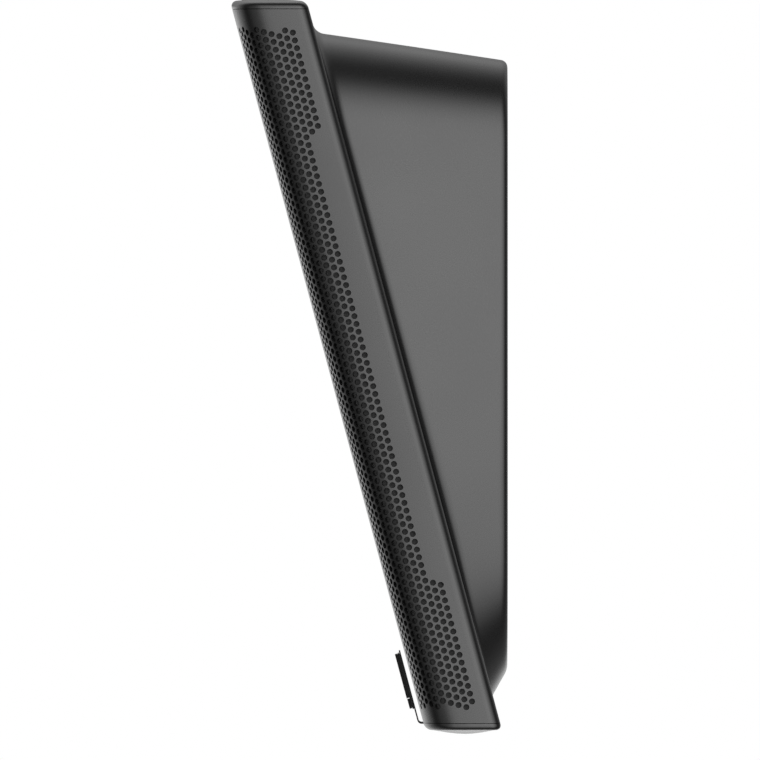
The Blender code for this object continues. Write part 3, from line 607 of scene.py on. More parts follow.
def soft_rubber(name, tone, roughness):
    """Rubber or foam: fine pores and a little dust."""
    shader = Shader(name)
    pores = shader.noise(0.5, 3.0, 0.6)
    dust = shader.noise(7.0, 3.0)
    colour = shader.blend(shader.ramp(dust, 0.5, 0.75, 0.0, 0.4), grey(tone), grey(tone * 2.2))
    rough = shader.math("ADD", shader.ramp(dust, 0.4, 0.7, 0.0, 0.1), roughness)
    return shader.set(colour=colour, roughness=rough, normal=shader.bump(pores, 0.4, 0.03), sheen=0.1)


def acoustic_cloth(name):
    """A fine knitted polyester, with a slight sheen on its threads."""
    shader = Shader(name)
    weave = shader.weave(900.0, "ZY")
    colour = shader.blend(weave, grey(0.02), grey(0.065))
    # A trace of glow stands for the light that reaches the cloth through all the other holes.
    return shader.set(colour=colour, roughness=shader.ramp(weave, 0.0, 1.0, 0.9, 0.7), sheen=0.3,
                      emission=colour, glow=0.12, normal=shader.bump(weave, 0.4, 0.04))


def woven_cone(name):
    """A pressed fibre diaphragm with a shallow cross weave."""
    shader = Shader(name)
    weave = shader.weave(500.0, "YZ", 0.4)
    colour = shader.blend(weave, grey(0.018), grey(0.045))
    return shader.set(colour=colour, roughness=shader.ramp(weave, 0.0, 1.0, 0.7, 0.5),
                      normal=shader.bump(weave, 0.5, 0.05))


def amber_film(name):
    """A flexible printed film with its tracks showing through."""
    shader = Shader(name)
    tracks = shader.node("ShaderNodeTexWave", {"Vector": shader.place, "Scale": 300.0}, bands_direction="X")
    cloud = shader.noise(12.0, 2.0)
    colour = shader.blend(tracks.outputs["Fac"], (0.36, 0.15, 0.03, 1.0), (0.55, 0.27, 0.07, 1.0))
    colour = shader.blend(shader.math("MULTIPLY", cloud, 0.3), colour, (0.25, 0.1, 0.02, 1.0))
    return shader.set(colour=colour, roughness=shader.ramp(cloud, 0.3, 0.7, 0.28, 0.4),
                      normal=shader.bump(tracks.outputs["Fac"], 0.3, 0.02))


def white_sheet(name):
    """A matt white diffuser sheet."""
    shader = Shader(name)
    grain = shader.noise(0.8, 2.0)
    rough = shader.ramp(grain, 0.3, 0.7, 0.42, 0.55)
    return shader.set(colour=shader.blend(grain, grey(0.68), grey(0.78)), roughness=rough,
                      normal=shader.bump(grain, 0.15, 0.01))


def lens_glass(name):
    """Coated lens: dark, very smooth, with a violet cast towards the middle."""
    shader = Shader(name)
    facing = shader.node("ShaderNodeLayerWeight", {"Blend": 0.35}).outputs["Facing"]
    haze = shader.noise(1.5, 3.0)
    colour = shader.blend(facing, (0.012, 0.006, 0.03, 1.0), (0.004, 0.012, 0.012, 1.0))
    return shader.set(colour=colour, roughness=shader.ramp(haze, 0.3, 0.7, 0.02, 0.06), coat=1.0,
                      normal=shader.bump(haze, 0.03, 0.005))


# ---- Screen picture ----


class Picture(Shader):
    """A shader that draws flat figures on the screen, placed in millimetres across it and up it."""

    def __init__(self, name):
        super().__init__(name)
        scale = (1 / MM, 1 / MM, 1 / (MM * math.cos(TILT)))
        turned = self.node("ShaderNodeMapping", {"Vector": self.place, "Scale": scale})
        split = self.node("ShaderNodeSeparateXYZ", {0: turned.outputs[0]})
        self.x, self.z = split.outputs["X"], split.outputs["Z"]

    def offset(self, cx, cz):
        return self.math("SUBTRACT", self.x, cx), self.math("SUBTRACT", self.z, cz)

    def length(self, a, b):
        return self.math("SQRT", self.math("ADD", self.math("MULTIPLY", a, a), self.math("MULTIPLY", b, b)))

    def weighted(self, a, b, weight_a, weight_b):
        return self.math("ADD", self.math("MULTIPLY", a, weight_a), self.math("MULTIPLY", b, weight_b))

    def band(self, value, middle, half, soft):
        """1 inside middle plus or minus half, falling to 0 over soft."""
        away = self.math("ABSOLUTE", self.math("SUBTRACT", value, middle))
        return self.ramp(away, half - soft, half + soft, 1.0, 0.0)

    def disc(self, cx, cz, radius, soft=0.4):
        return self.ramp(self.length(*self.offset(cx, cz)), radius - soft, radius + soft, 1.0, 0.0)

    def tile(self, cx, cz, half_x, half_z, radius):
        """A rounded rectangle by its distance field."""
        beyond = []
        for value, half in zip(self.offset(cx, cz), (half_x, half_z)):
            outside = self.math("SUBTRACT", self.math("ABSOLUTE", value), half - radius)
            beyond.append(self.math("MAXIMUM", outside, 0.0))
        return self.ramp(self.length(*beyond), radius - 0.3, radius + 0.3, 1.0, 0.0)


def draw_hills(screen, picture):
    """Soft hills, darker towards the viewer."""
    for height, reach, depth, tone in HILLS:
        wave = screen.math("SINE", screen.math("MULTIPLY_ADD", screen.x, 1 / reach, height * 0.11))
        ridge = screen.math("MULTIPLY_ADD", wave, depth, height)
        under = screen.ramp(screen.math("SUBTRACT", screen.z, ridge), -0.8, 0.8, 1.0, 0.0)
        picture = screen.blend(under, picture, tone)
    return picture


def draw_clock(screen, picture):
    """A ring, twelve marks and two hands."""
    rim = screen.disc(CLOCK_X, CLOCK_Z, CLOCK_RADIUS)
    marks = screen.math("SUBTRACT", rim, screen.disc(CLOCK_X, CLOCK_Z, CLOCK_RADIUS - 1.1))
    for hour in range(12):
        angle = math.radians(30 * hour)
        mark_x = CLOCK_X + (CLOCK_RADIUS - 6) * math.sin(angle)
        mark_z = CLOCK_Z + (CLOCK_RADIUS - 6) * math.cos(angle)
        mark = screen.disc(mark_x, mark_z, 1.5 if hour % 3 == 0 else 0.8, 0.25)
        marks = screen.math("MAXIMUM", marks, mark)
    dx, dz = screen.offset(CLOCK_X, CLOCK_Z)
    for degrees, reach, half in CLOCK_HANDS:
        sine, cosine = math.sin(math.radians(degrees)), math.cos(math.radians(degrees))
        along = screen.band(screen.weighted(dx, dz, sine, cosine), reach / 2, reach / 2, 0.4)
        across = screen.band(screen.weighted(dx, dz, cosine, -sine), 0.0, half, 0.2)
        marks = screen.math("MAXIMUM", marks, screen.math("MULTIPLY", along, across))
    marks = screen.math("MAXIMUM", marks, screen.disc(CLOCK_X, CLOCK_Z, 2.0))
    return screen.blend(marks, picture, (0.85, 0.85, 0.82, 1.0))


def draw_tiles(screen, picture):
    """Plain tiles along the foot of the screen, each with a round mark and two bars."""
    for i, tone in enumerate(TILE_COLOURS):
        tile_x = TILE_FIRST + TILE_PITCH * i
        ground = screen.math("MULTIPLY", screen.tile(tile_x, TILE_Z, 32.0, 14.0, 5.0), 0.55)
        picture = screen.blend(ground, picture, (*[0.25 + 0.3 * c for c in tone], 1.0))
        picture = screen.blend(screen.disc(tile_x - 19.0, TILE_Z, 7.0), picture, (*tone, 1.0))
        upper = screen.tile(tile_x + 9.0, TILE_Z + 4.0, 15.0, 1.5, 1.4)
        lower = screen.tile(tile_x + 4.0, TILE_Z - 4.0, 10.0, 1.1, 1.0)
        bars = screen.math("MULTIPLY", screen.math("MAXIMUM", upper, lower), 0.7)
        picture = screen.blend(bars, picture, (0.8, 0.8, 0.78, 1.0))
    return picture


def screen_picture(name):
    """The lit screen: a dusk-coloured gradient, hills, an analogue clock face and a row of plain tiles."""
    screen = Picture(name)
    low, high = ACTIVE_AREA
    rise = screen.ramp(screen.z, low[1], high[1], 0.0, 1.0)
    cloud = screen.ramp(screen.noise(90.0, 3.0, 0.45), 0.3, 0.7, -0.15, 0.15)
    picture = screen.blend(screen.math("ADD", rise, cloud), (0.42, 0.2, 0.13, 1.0), (0.03, 0.08, 0.2, 1.0))
    for draw in (draw_hills, draw_clock, draw_tiles):
        picture = draw(screen, picture)
    dots = screen.node("ShaderNodeTexWave", {"Vector": screen.place, "Scale": 1400.0}, bands_direction="X")
    glow = screen.ramp(dots.outputs["Fac"], 0.0, 1.0, 0.85, 1.0)
    return screen.set(colour=grey(0.01), roughness=0.25, emission=picture, glow=glow,
                      normal=screen.bump(dots.outputs["Fac"], 0.05, 0.005))


# ---- Perforated speaker sides ----


SIDE_NAMES = {-1: "left", 1: "right"}


def side_path():
    """The outer profile of a side from the glass to the rear panel, as fine points with their arc lengths."""
    points = [(x, 0.0) for x in even_points(FRONT_LIP, HALF_WIDTH - CORNER_WIDTH - SIDE_BOW, 6)]
    points += corner_points(0.0, 160)[1:]
    points += rear_corner_points(0.0, 24)
    points += [(x, BODY_DEPTH) for x in even_points(HALF_WIDTH - REAR_CORNER, REAR_LIP, 8)[1:]]
    lengths = [0.0]
    for a, b in zip(points, points[1:]):
        lengths.append(lengths[-1] + math.dist(a, b))
    return points, lengths


class Profile:
    """Looks up a place on the side's outer profile by its arc length."""

    def __init__(self):
        self.points, self.lengths = side_path()
        self.total = self.lengths[-1]

    def locate(self, s):
        s = min(max(s, 0.0), self.total)
        low, high = 0, len(self.lengths) - 1
        while high - low > 1:
            middle = (low + high) // 2
            if self.lengths[middle] <= s:
                low = middle
            else:
                high = middle
        return low, (s - self.lengths[low]) / max(self.lengths[high] - self.lengths[low], 1e-9)

    def at(self, s):
        low, t = self.locate(s)
        a, b = self.points[low], self.points[low + 1]
        return a[0] + (b[0] - a[0]) * t, a[1] + (b[1] - a[1]) * t

    def length_at_depth(self, depth):
        """The arc length where the side first reaches a depth behind the glass plane."""
        for (a, b, s) in zip(self.points, self.points[1:], self.lengths):
            if a[1] <= depth < b[1]:
                return s + (depth - a[1]) / (b[1] - a[1]) * math.dist(a, b)
        return self.total


def is_hole(column, row, depth):
    """Whether the lattice has a hole: inside the level ends, and outside the narrow middle stretch."""
    along = FIRST_HOLE - row * HOLE_PITCH
    level = depth * math.sin(TILT) + along * math.cos(TILT)
    if not LAST_HOLE_LEVEL < level < FIRST_HOLE_LEVEL:
        return False
    return column >= WIDE_COLUMNS or row < TOP_PATCH_ROWS or row > BOTTOM_PATCH_ROWS


def speaker_side(side, material):
    """The perforated skin, laid out flat as cells with one hole each and wrapped round the profile."""
    profile = Profile()
    spacing = HOLE_PITCH * math.sqrt(3) / 2
    first = profile.length_at_depth(FIRST_COLUMN_DEPTH)
    quarter = HOLE_PITCH / 4
    shape = bmesh.new()
    known = {}

    def vertex(s, t):
        """Places that round to the same thousandth share one point."""
        key = (round(s * 1000), round(t * 1000))
        if key not in known:
            x, y = profile.at(s)
            known[key] = shape.verts.new(from_display(side * x, y, t))
        return known[key]

    def face(corners):
        shape.faces.new([vertex(*c) for c in (corners if side > 0 else corners[::-1])])

    def plain_strips(edges):
        """Columns without holes, in quarter-pitch steps so that they meet their neighbours."""
        start = FIRST_HOLE + ROWS_ABOVE * HOLE_PITCH
        for s0, s1 in zip(edges, edges[1:]):
            for k in range(4 * (ROWS_ABOVE + ROWS_BELOW)):
                t0, t1 = start - k * quarter, start - (k + 1) * quarter
                face([(s0, t0), (s0, t1), (s1, t1), (s1, t0)])

    def plain_cell(s, levels):
        left, right = s - spacing / 2, s + spacing / 2
        for high, low in zip(levels, levels[1:]):
            face([(left, high), (left, low), (s, low), (s, high)])
            face([(s, high), (s, low), (right, low), (right, high)])

    def holed_cell(s, t, levels):
        """Five-sided faces between the cell's rim and the hole."""
        rim = [(s - spacing / 2, v) for v in levels] + [(s, levels[-1])]
        rim += [(s + spacing / 2, v) for v in levels[::-1]] + [(s, levels[0])]
        angles = [math.atan2(v - t, u - s) for u, v in rim]
        for i, (a, angle_a) in enumerate(zip(rim, angles)):
            after = (i + 1) % len(rim)
            b, angle_b = rim[after], angles[after]
            if angle_b < angle_a - 1e-6:
                angle_b += 2 * math.pi
            ring = [(s + HOLE_RADIUS * math.cos(v), t + HOLE_RADIUS * math.sin(v))
                    for v in (angle_b, (angle_a + angle_b) / 2, angle_a)]
            face([a, b, *ring])

    # Columns count from the rear one, so arc length falls as the column number rises.
    for column in range(HOLE_COLUMNS):
        s = first - column * spacing
        depth = profile.at(s)[1]
        shift = 0.5 if column % 2 else 0.0
        for k in range(-ROWS_ABOVE + 1, ROWS_BELOW):
            row = k - shift
            t = FIRST_HOLE - row * HOLE_PITCH
            levels = [t + 2 * quarter - i * quarter for i in range(5)]
            if is_hole(column, row, depth):
                holed_cell(s, t, levels)
            else:
                plain_cell(s, levels)
    plain_strips(even_points(0.0, first - (HOLE_COLUMNS - 0.5) * spacing, 10))
    corner_start = profile.length_at_depth(BODY_DEPTH - REAR_CORNER)
    corner_end = corner_start + REAR_CORNER * math.pi / 2
    edges = even_points(first + spacing / 2, corner_start, 3)
    edges += even_points(corner_start, corner_end, 8)[1:]
    edges += even_points(corner_end, profile.total, 6)[1:]
    plain_strips(edges)

    cut_level(shape, TOP_SEAM - SEAM_REVEAL / 2, 1)
    cut_level(shape, BOTTOM_SEAM + SEAM_REVEAL / 2, -1)
    name = SIDE_NAMES[side]
    made = object_from(shape, f"speaker_side_{name}", material)
    modifier = made.modifiers.new("skin", "SOLIDIFY")
    modifier.thickness = SKIN * MM
    modifier.offset = -1.0
    bake(made)
    finish_shading(made, 40)
    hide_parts(f"side_grille_{name}")


def speaker_cloth(side, material):
    """The acoustic cloth stretched behind the perforation."""
    inset = SKIN + CLOTH_CLEARANCE
    outline = [point for point in corner_points(inset, 40) if point[0] > CLOTH_FRONT_X]
    outline.append((HALF_WIDTH - inset, CLOTH_REAR_DEPTH))
    shape = bmesh.new()
    reach = even_points(-112, 112, 40)
    grid = [[shape.verts.new(from_display(side * x, y, z)) for z in reach] for x, y in outline]
    for near, far in zip(grid, grid[1:]):
        for i in range(len(reach) - 1):
            shape.faces.new((near[i], near[i + 1], far[i + 1], far[i]))
    cut_level(shape, TOP_SEAM - CLOTH_TO_SEAM, 1)
    cut_level(shape, BOTTOM_SEAM + CLOTH_TO_SEAM, -1)
    made = object_from(shape, f"speaker_cloth_{SIDE_NAMES[side]}", material)
    modifier = made.modifiers.new("thickness", "SOLIDIFY")
    modifier.thickness = CLOTH_THICKNESS * MM
    bake(made)
    finish_shading(made, 50)


def cut_level(shape, level, end):
    """Removes everything beyond a level plane, above it for end 1 and below it for end -1."""
    bmesh.ops.bisect_plane(shape, geom=shape.verts[:] + shape.edges[:] + shape.faces[:], dist=1e-7,
                           plane_co=(0, 0, level * MM), plane_no=(0, 0, end), clear_outer=True)


# ---- Caps ----


def cap_outline(inset, shrink=0.0):
    """The body's whole section at an inset, drawn in by a share towards its middle line."""
    front_end = HALF_WIDTH - CORNER_WIDTH - SIDE_BOW
    rear_end = HALF_WIDTH - REAR_CORNER
    front = [(x, inset) for x in even_points(-front_end, front_end, 60)[1:-1]]
    right = corner_points(inset, 24) + rear_corner_points(inset, 8)
    rear = [(x, BODY_DEPTH - inset) for x in even_points(rear_end, -rear_end, 60)[1:-1]]
    left = [(-x, y) for x, y in right[::-1]]
    middle, reach = BODY_DEPTH / 2, HALF_WIDTH - BODY_DEPTH / 2
    outline = []
    for x, y in front + right + rear + left:
        held_x = min(max(x, -reach), reach)
        outline.append((x + (held_x - x) * shrink, y + (middle - y) * shrink))
    return outline


def cap_ring(end, inset, height, level=None, shrink=0.0):
    """An outline carried up or down along the body: to a level, or to height under the bowed face."""
    ring = []
    for x, y in cap_outline(inset, shrink):
        z = level
        if z is None:
            face_z = (BOTTOM_SEAM if end < 0 else TOP_SEAM) + end * (CAP_HEIGHT + crown(end, x, y))
            z = face_z - end * height
        world_y = rear_face_y(z) - (BODY_DEPTH - y) / math.cos(TILT)
        ring.append(in_metres(x, world_y, z))
    return ring


def end_cap(end, material):
    seam = TOP_SEAM if end > 0 else BOTTOM_SEAM
    rings = [cap_ring(end, 0.1, 0, seam + end * SEAM_REVEAL / 2)]
    rings.append(cap_ring(end, 0.0, 0, seam + end * (SEAM_REVEAL / 2 + 0.1)))
    for i in range(9):
        angle = math.pi / 2 * i / 8
        rings.append(cap_ring(end, CAP_EDGE * (1 - math.cos(angle)), CAP_EDGE * (1 - math.sin(angle))))
    for shrink in (0.15, 0.45, 0.75, 0.98):
        rings.append(cap_ring(end, CAP_EDGE, 0.0, shrink=shrink))
    name = "top" if end > 0 else "bottom"
    made = object_from(loft(rings), f"bowed_cap_{name}", material)
    if end > 0:
        cut_top_openings(made)
    else:
        cut_tab_notch(made)
    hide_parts(f"{name}_cap")
    finish_shading(made, 32)


def cut_tab_notch(cap):
    low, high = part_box("tab_strip")
    front = rear_face_y(BOTTOM_SEAM) - BODY_DEPTH / math.cos(TILT)
    cut(cap, block((low.x / MM - NOTCH_MARGIN, front - 3, BOTTOM_SEAM - NOTCH_HEIGHT),
                   (high.x / MM + NOTCH_MARGIN, front + NOTCH_DEPTH, BOTTOM_SEAM + 1)))


def key_prism(centre, half_x, half_y, low, high, steps=10):
    radius = min(half_x, half_y) - 0.01
    outline = rounded_rectangle((centre[0] - half_x, centre[1] - half_y),
                                (centre[0] + half_x, centre[1] + half_y), radius, steps)
    return loft([[in_metres(x, y, z) for (x, y), _ in outline] for z in (low, high)])


def button_centre(node):
    low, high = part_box(node)
    return (low.x + high.x) / 2 / MM, (low.y + high.y) / 2 / MM


def cut_top_openings(cap):
    for name in reversed(BUTTON_MARKS):
        centre = button_centre(f"{name}_button")
        cut(cap, key_prism(centre, KEY_HALF[0] + KEY_GAP, KEY_HALF[1] + KEY_GAP, *OPENING_LEVELS))
    low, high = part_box("camera_shutter")
    centre = ((low.x + high.x) / 2 / MM - SHUTTER_TRAVEL / 2, low.y / MM + KNOB_HALF_DEPTH)
    cut(cap, key_prism(centre, SHUTTER_TRAVEL / 2 + SHUTTER_SLOT_MARGIN, SHUTTER_SLOT_HALF, *OPENING_LEVELS))


# ---- Back shell ----


def foot_level(depth):
    """World height of the wedge's underside at a distance from the wall: a round, then a straight slope."""
    steep = math.atan(1 / WEDGE_FOOT_SLOPE)
    reach = WEDGE_FOOT_ROUND * math.sin(steep)
    drop = WEDGE_FOOT_ROUND * (1 - math.cos(steep))
    if depth < drop:
        across = WEDGE_FOOT_ROUND - depth
        return WEDGE_FOOT_FLAT - math.sqrt(WEDGE_FOOT_ROUND ** 2 - across ** 2)
    return WEDGE_FOOT_FLAT - reach - (depth - drop) * WEDGE_FOOT_SLOPE


def foot_at(t):
    """The underside's height at a share t of the way to the body, whose rear face leans back to meet it."""
    level = WEDGE_FOOT_FLAT
    for _ in range(30):
        level = foot_level(t * -rear_face_y(level))
    return level


def wedge_outline(t):
    """Points and normals of the wedge's section at a share t of the way from the wall to the body."""
    def mix(pair):
        return pair[0] + (pair[1] - pair[0]) * t

    half, top, foot = mix(WEDGE_HALF_WIDTH), mix(WEDGE_TOP), foot_at(t)
    return rounded_rectangle((-half, foot), (half, top), WEDGE_LOW_CORNERS_START - foot, WEDGE_CORNER_STEPS,
                             mix(WEDGE_TOP_CORNER), WEDGE_SIDE_STEPS)


def wedge_ring(t):
    """The wedge's section with its edge round at the wall and its fillet at the body."""
    ring = []
    for (x, z), (nx, nz) in wedge_outline(t):
        depth = t * -rear_face_y(z)
        edge = max(WEDGE_EDGE - depth, 0.0)
        inset = WEDGE_EDGE - math.sqrt(WEDGE_EDGE ** 2 - edge ** 2)
        inset *= 1 - max(-nz, 0.0) ** WEDGE_EDGE_FADE
        fillet = min(WEDGE_FILLET, 0.3 * -rear_face_y(z)) * (1 - max(-nz, 0.0))
        close = max(fillet - (1 - t) * -rear_face_y(z) * math.cos(TILT), 0.0)
        outset = fillet - math.sqrt(max(fillet ** 2 - min(close, fillet) ** 2, 0.0))
        x += nx * (outset - inset)
        z += nz * (outset - inset)
        ring.append(in_metres(x, t * rear_face_y(z), z))
    return ring


def panel_ring(depth_in, trim=0.0):
    """A rectangle on the rear panel with one point for each point of a wedge ring."""
    half = PANEL_HALF_WIDTH - trim
    low, high = BOTTOM_SEAM + SEAM_GAP / 2 + trim, TOP_SEAM - SEAM_GAP / 2 - trim
    ring = []
    for (x, z), (nx, nz) in wedge_outline(1.0):
        if abs(nx) > abs(nz) - 0.01:
            x = math.copysign(half, nx)
        if abs(nz) > abs(nx) - 0.01:
            z = high if nz > 0 else low
        y = rear_face_y(z) - depth_in / math.cos(TILT)
        ring.append(in_metres(x, y, z))
    return ring


def hollow_ring(end):
    """The cavity's section: end 0 behind the wall face, end 1 just inside the body."""
    half, top = WEDGE_HALF_WIDTH[end] - WEDGE_SKIN, WEDGE_TOP[end] - WEDGE_SKIN
    low_corner, top_corner = WEDGE_LOW_CORNERS_START - HOLLOW_FOOT, WEDGE_TOP_CORNER[end] - WEDGE_SKIN
    outline = rounded_rectangle((-half, HOLLOW_FOOT), (half, top), low_corner, 10, top_corner)
    ring = []
    for (x, z), _ in outline:
        y = rear_face_y(z) - HOLLOW_INTO_BODY if end else -WEDGE_SKIN
        ring.append(in_metres(x, y, z))
    return ring


def grown(low, high, margin):
    return (low[0] - margin, low[1] - margin), (high[0] + margin, high[1] + margin)


def wall_block(low, high, deep, shallow):
    """A block from its (x, z) corners and the depths it spans from the wall."""
    return block((low[0], deep, low[1]), (high[0], shallow, high[1]))


def build_up_recess(shell):
    """The blocks that the recess and the cable pocket are cut from, and the posts for the socket board."""
    tray = wall_block(*grown(RECESS_LOW, RECESS_HIGH, WEDGE_SKIN), -RECESS_DEPTH - WEDGE_SKIN, -1.0)
    pocket = wall_block(*grown(POCKET_LOW, POCKET_HIGH, POCKET_WALL), -POCKET_DEPTH - POCKET_WALL, -6)
    join(shell, tray, pocket)
    for side in (-1, 1):
        join(shell, rod((side * POST_X, POST_Z), POST_RADIUS, POST_END, -6, in_metres, 20))


def cut_recess(shell):
    """The recess with its bevelled mouth, the cable pocket, the sockets' openings and the hooks' slots."""
    mouth = [(-RECESS_DEPTH, 0.0), (-RECESS_BEVEL, 0.0), (0.0, RECESS_BEVEL), (1.0, RECESS_BEVEL)]
    cut(shell, rounded_block(RECESS_LOW, RECESS_HIGH, RECESS_CORNER, mouth))
    cut(shell, rounded_block(POCKET_LOW, POCKET_HIGH, 2.0, [(-POCKET_DEPTH, 0.0), (0.0, 0.0)]))
    cut(shell, *[block(low, high) for low, high in SOCKET_OPENINGS])
    through = [(-RECESS_DEPTH - WEDGE_SKIN - 1, 0.0), (0.0, 0.0)]
    for x, z in HOOK_PLACES:
        low = (x + HOOK_SLOT_LOW[0], z + HOOK_SLOT_LOW[1])
        high = (x + HOOK_SLOT_HIGH[0], z + HOOK_SLOT_HIGH[1])
        cut(shell, rounded_block(low, high, 0.8, through, 4))


def add_slider_rails(shell):
    """The two ribs that the hold-down slider runs between."""
    for side in (-1, 1):
        low, high = sorted(side * x for x in RAIL_X)
        join(shell, wall_block((low, RAIL_Z[0]), (high, RAIL_Z[1]), -RECESS_DEPTH - 1, RAIL_TOP))


def cut_screw_seats(shell):
    for i in range(BACK_SCREWS):
        low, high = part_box(f"back_screw_{i + 1}")
        centre = ((low.x + high.x) / 2 / MM, math.copysign(SCREW_LEVEL, low.z))
        for radius, depth in (SCREW_HOLE, SCREW_SEAT):
            cut(shell, rod(centre, radius, BODY_DEPTH - depth, BODY_DEPTH + 1, from_display))


def back_shell(material):
    """The rear panel and the wedge in one moulding, hollow, with the wall plate's recess."""
    rings = [wedge_ring(t) for t in WEDGE_STATIONS]
    rings += [panel_ring(0.0, 0.25), panel_ring(0.2), panel_ring(PANEL_THICKNESS)]
    made = object_from(loft(rings), "back_shell", material)
    cut(made, loft([hollow_ring(1), hollow_ring(0)]))
    build_up_recess(made)
    cut_recess(made)
    add_slider_rails(made)
    cut_screw_seats(made)
    finish_shading(made, 28)
    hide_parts("rear_housing")


# ---- Buttons ----


def dished_button(name, material):
    """A key with a rounded edge, a shallow dish and a raised mark."""
    node = f"{name}_button"
    cx, cy = button_centre(node)
    low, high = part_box(node)
    top, flange = high.z / MM, low.z / MM
    shoulder = flange + FLANGE_HEIGHT
    levels = [(-FLANGE_MARGIN, flange), (-FLANGE_MARGIN, shoulder), (0.0, shoulder)]
    for i in range(6):
        angle = math.pi / 2 * i / 5
        levels.append((KEY_ROUND * (1 - math.cos(angle)), top - KEY_ROUND * (1 - math.sin(angle))))
    levels += [(inset, top - drop) for inset, drop in KEY_DISH]
    half_x, half_y = KEY_HALF
    rings = []
    for inset, z in levels:
        outline = rounded_rectangle((cx - half_x + inset, cy - half_y + inset),
                                    (cx + half_x - inset, cy + half_y - inset),
                                    max(half_y - 0.01 - inset, 0.05), 10)
        rings.append([in_metres(x, y, z) for (x, y), _ in outline])
    made = object_from(loft(rings), f"{name}_key", material, name)
    for half_a, half_b in MARK_BARS[BUTTON_MARKS[name]]:
        join(made, key_prism((cx, cy), half_a, half_b, top - 0.5, top - 0.02, 4))
    finish_shading(made, 30)
    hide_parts(node)


# ---- Screen parts ----


def black_print(material):
    """The ink on the back of the glass, open over the picture and the camera."""
    half = GLASS_HALF_WIDTH - PRINT_INSET
    foot, head = (BOTTOM_SEAM + PRINT_TO_SEAM) / math.cos(TILT), (TOP_SEAM - PRINT_TO_SEAM) / math.cos(TILT)
    curve = bpy.data.curves.new("glass_print", "CURVE")
    curve.dimensions = "2D"
    curve.fill_mode = "BOTH"
    curve.extrude = PRINT_THICKNESS / 2 * MM
    border = [place for place, _ in rounded_rectangle((-half, foot), (half, head), 1.0, 4)]
    window = [place for place, _ in rounded_rectangle(*ACTIVE_AREA, 2.0, 6)]
    for outline in (border, window, circle(CAMERA_PLACE, CAMERA_WINDOW, 40)):
        spline = curve.splines.new("POLY")
        spline.points.add(len(outline) - 1)
        for point, (x, z) in zip(spline.points, outline):
            point.co = (x * MM, z * MM, 0, 1)
        spline.use_cyclic_u = True
    drawn = bpy.data.objects.new("glass_print", curve)
    bpy.context.scene.collection.objects.link(drawn)
    behind_glass = Matrix.Translation((0, PRINT_DEPTH * MM, 0))
    drawn.matrix_world = DISPLAY_TURN @ behind_glass @ Matrix.Rotation(math.pi / 2, 4, "X")
    bpy.context.view_layer.update()
    graph = bpy.context.evaluated_depsgraph_get()
    mesh = bpy.data.meshes.new_from_object(drawn.evaluated_get(graph))
    mesh.transform(drawn.matrix_world)
    bpy.data.objects.remove(drawn)
    shape = bmesh.new()
    shape.from_mesh(mesh)
    bmesh.ops.remove_doubles(shape, verts=shape.verts, dist=1e-6)
    bpy.data.meshes.remove(mesh)
    made = object_from(shape, "glass_print", material)


# ---- Tab ----


def display_box(node):
    """A node's lowest and highest corners in the display frame, in millimetres."""
    turn_back = DISPLAY_TURN.inverted()
    corners = [turn_back @ v.co / MM for v in frame["nodes"][node].data.vertices]
    return [Vector([pick(c[axis] for c in corners) for axis in range(3)]) for pick in (min, max)]


def tab_tape(material):
    """Foam tape between the strip and the board, and between the board and the cover and plug."""
    strip, board, cover, plug = (display_box(f"tab_{part}") for part in ("strip", "board", "cover", "plug"))
    layers = {"tab_tape_inner": (board[1].y, strip[0].y, board[0].z),
              "tab_tape_outer": (cover[1].y, board[0].y, plug[0].z)}
    for name, (front, back, foot) in layers.items():
        rings = []
        for y, inset in ((front, 0.3), (front, 0.15), ((front + back) / 2, 0.2), (back, 0.15), (back, 0.3)):
            outline = rounded_rectangle((cover[0].x + inset, foot + inset),
                                        (cover[1].x - inset, cover[1].z - inset), 0.6, 5)
            rings.append([from_display(x, y, z) for (x, z), _ in outline])
        made = object_from(loft(rings), name, material, "tab")


# ---- Dressing the CAD nodes ----


def materials_by_slot():
    return {
        "lcd": screen_picture("screen_picture"),
        "screen_glass": thin_glass("cover_glass"),
        "lens_glass": lens_glass("coated_lens"),
        "diffuser": white_sheet("diffuser_sheet"),
        "foam": soft_rubber("gasket_foam", 0.012, 0.85),
        "aluminium": bare_metal("pressed_aluminium", 0.62, 0.38, (1, 1, 6)),
        "steel": bare_metal("plated_steel", 0.55, 0.3, (1, 1, 8)),
        "dark_steel": coated_steel("powder_coat", 0.035, 0.5),
        "circuit_board": circuit_board("green_board"),
        "plain_black": moulded_plastic("plain_black_plastic", 0.012, 0.5, 0.3),
        "cable_rubber": soft_rubber("cable_sheath", 0.02, 0.6),
        "cone_rubber": woven_cone("driver_cone"),
        "ribbon": amber_film("amber_film"),
        "shell": moulded_plastic("hidden_shell", 0.1, 0.45),
        "cap": moulded_plastic("tab_plastic", 0.02, 0.42),
    }


def materials_by_node():
    """The tab's own darker finishes."""
    tab_black = moulded_plastic("tab_black", 0.005, 0.6, 0.25, wear=0.1, specular=0.25)
    return {
        "tab_board": moulded_plastic("black_laminate", 0.006, 0.55, 0.2, wear=0.1, specular=0.25),
        "tab_strip": coated_steel("tab_coat", 0.006, 0.65, wear=0.05),
        "tab_cover": tab_black,
        "tab_plug": tab_black,
    }


def dress(nodes):
    """Gives every CAD node its material, and soft edges where they show."""
    by_slot, by_node = materials_by_slot(), materials_by_node()
    slots = {row["node"]: row["material_slot"] for row in frame["record"]["subparts"]}
    for name, node in nodes.items():
        node.data.materials.clear()
        node.data.materials.append(by_node.get(name, by_slot[slots[name]]))
        if name in SOFT_EDGES:
            soften(node, SOFT_EDGES[name])


# ---- Stage ----


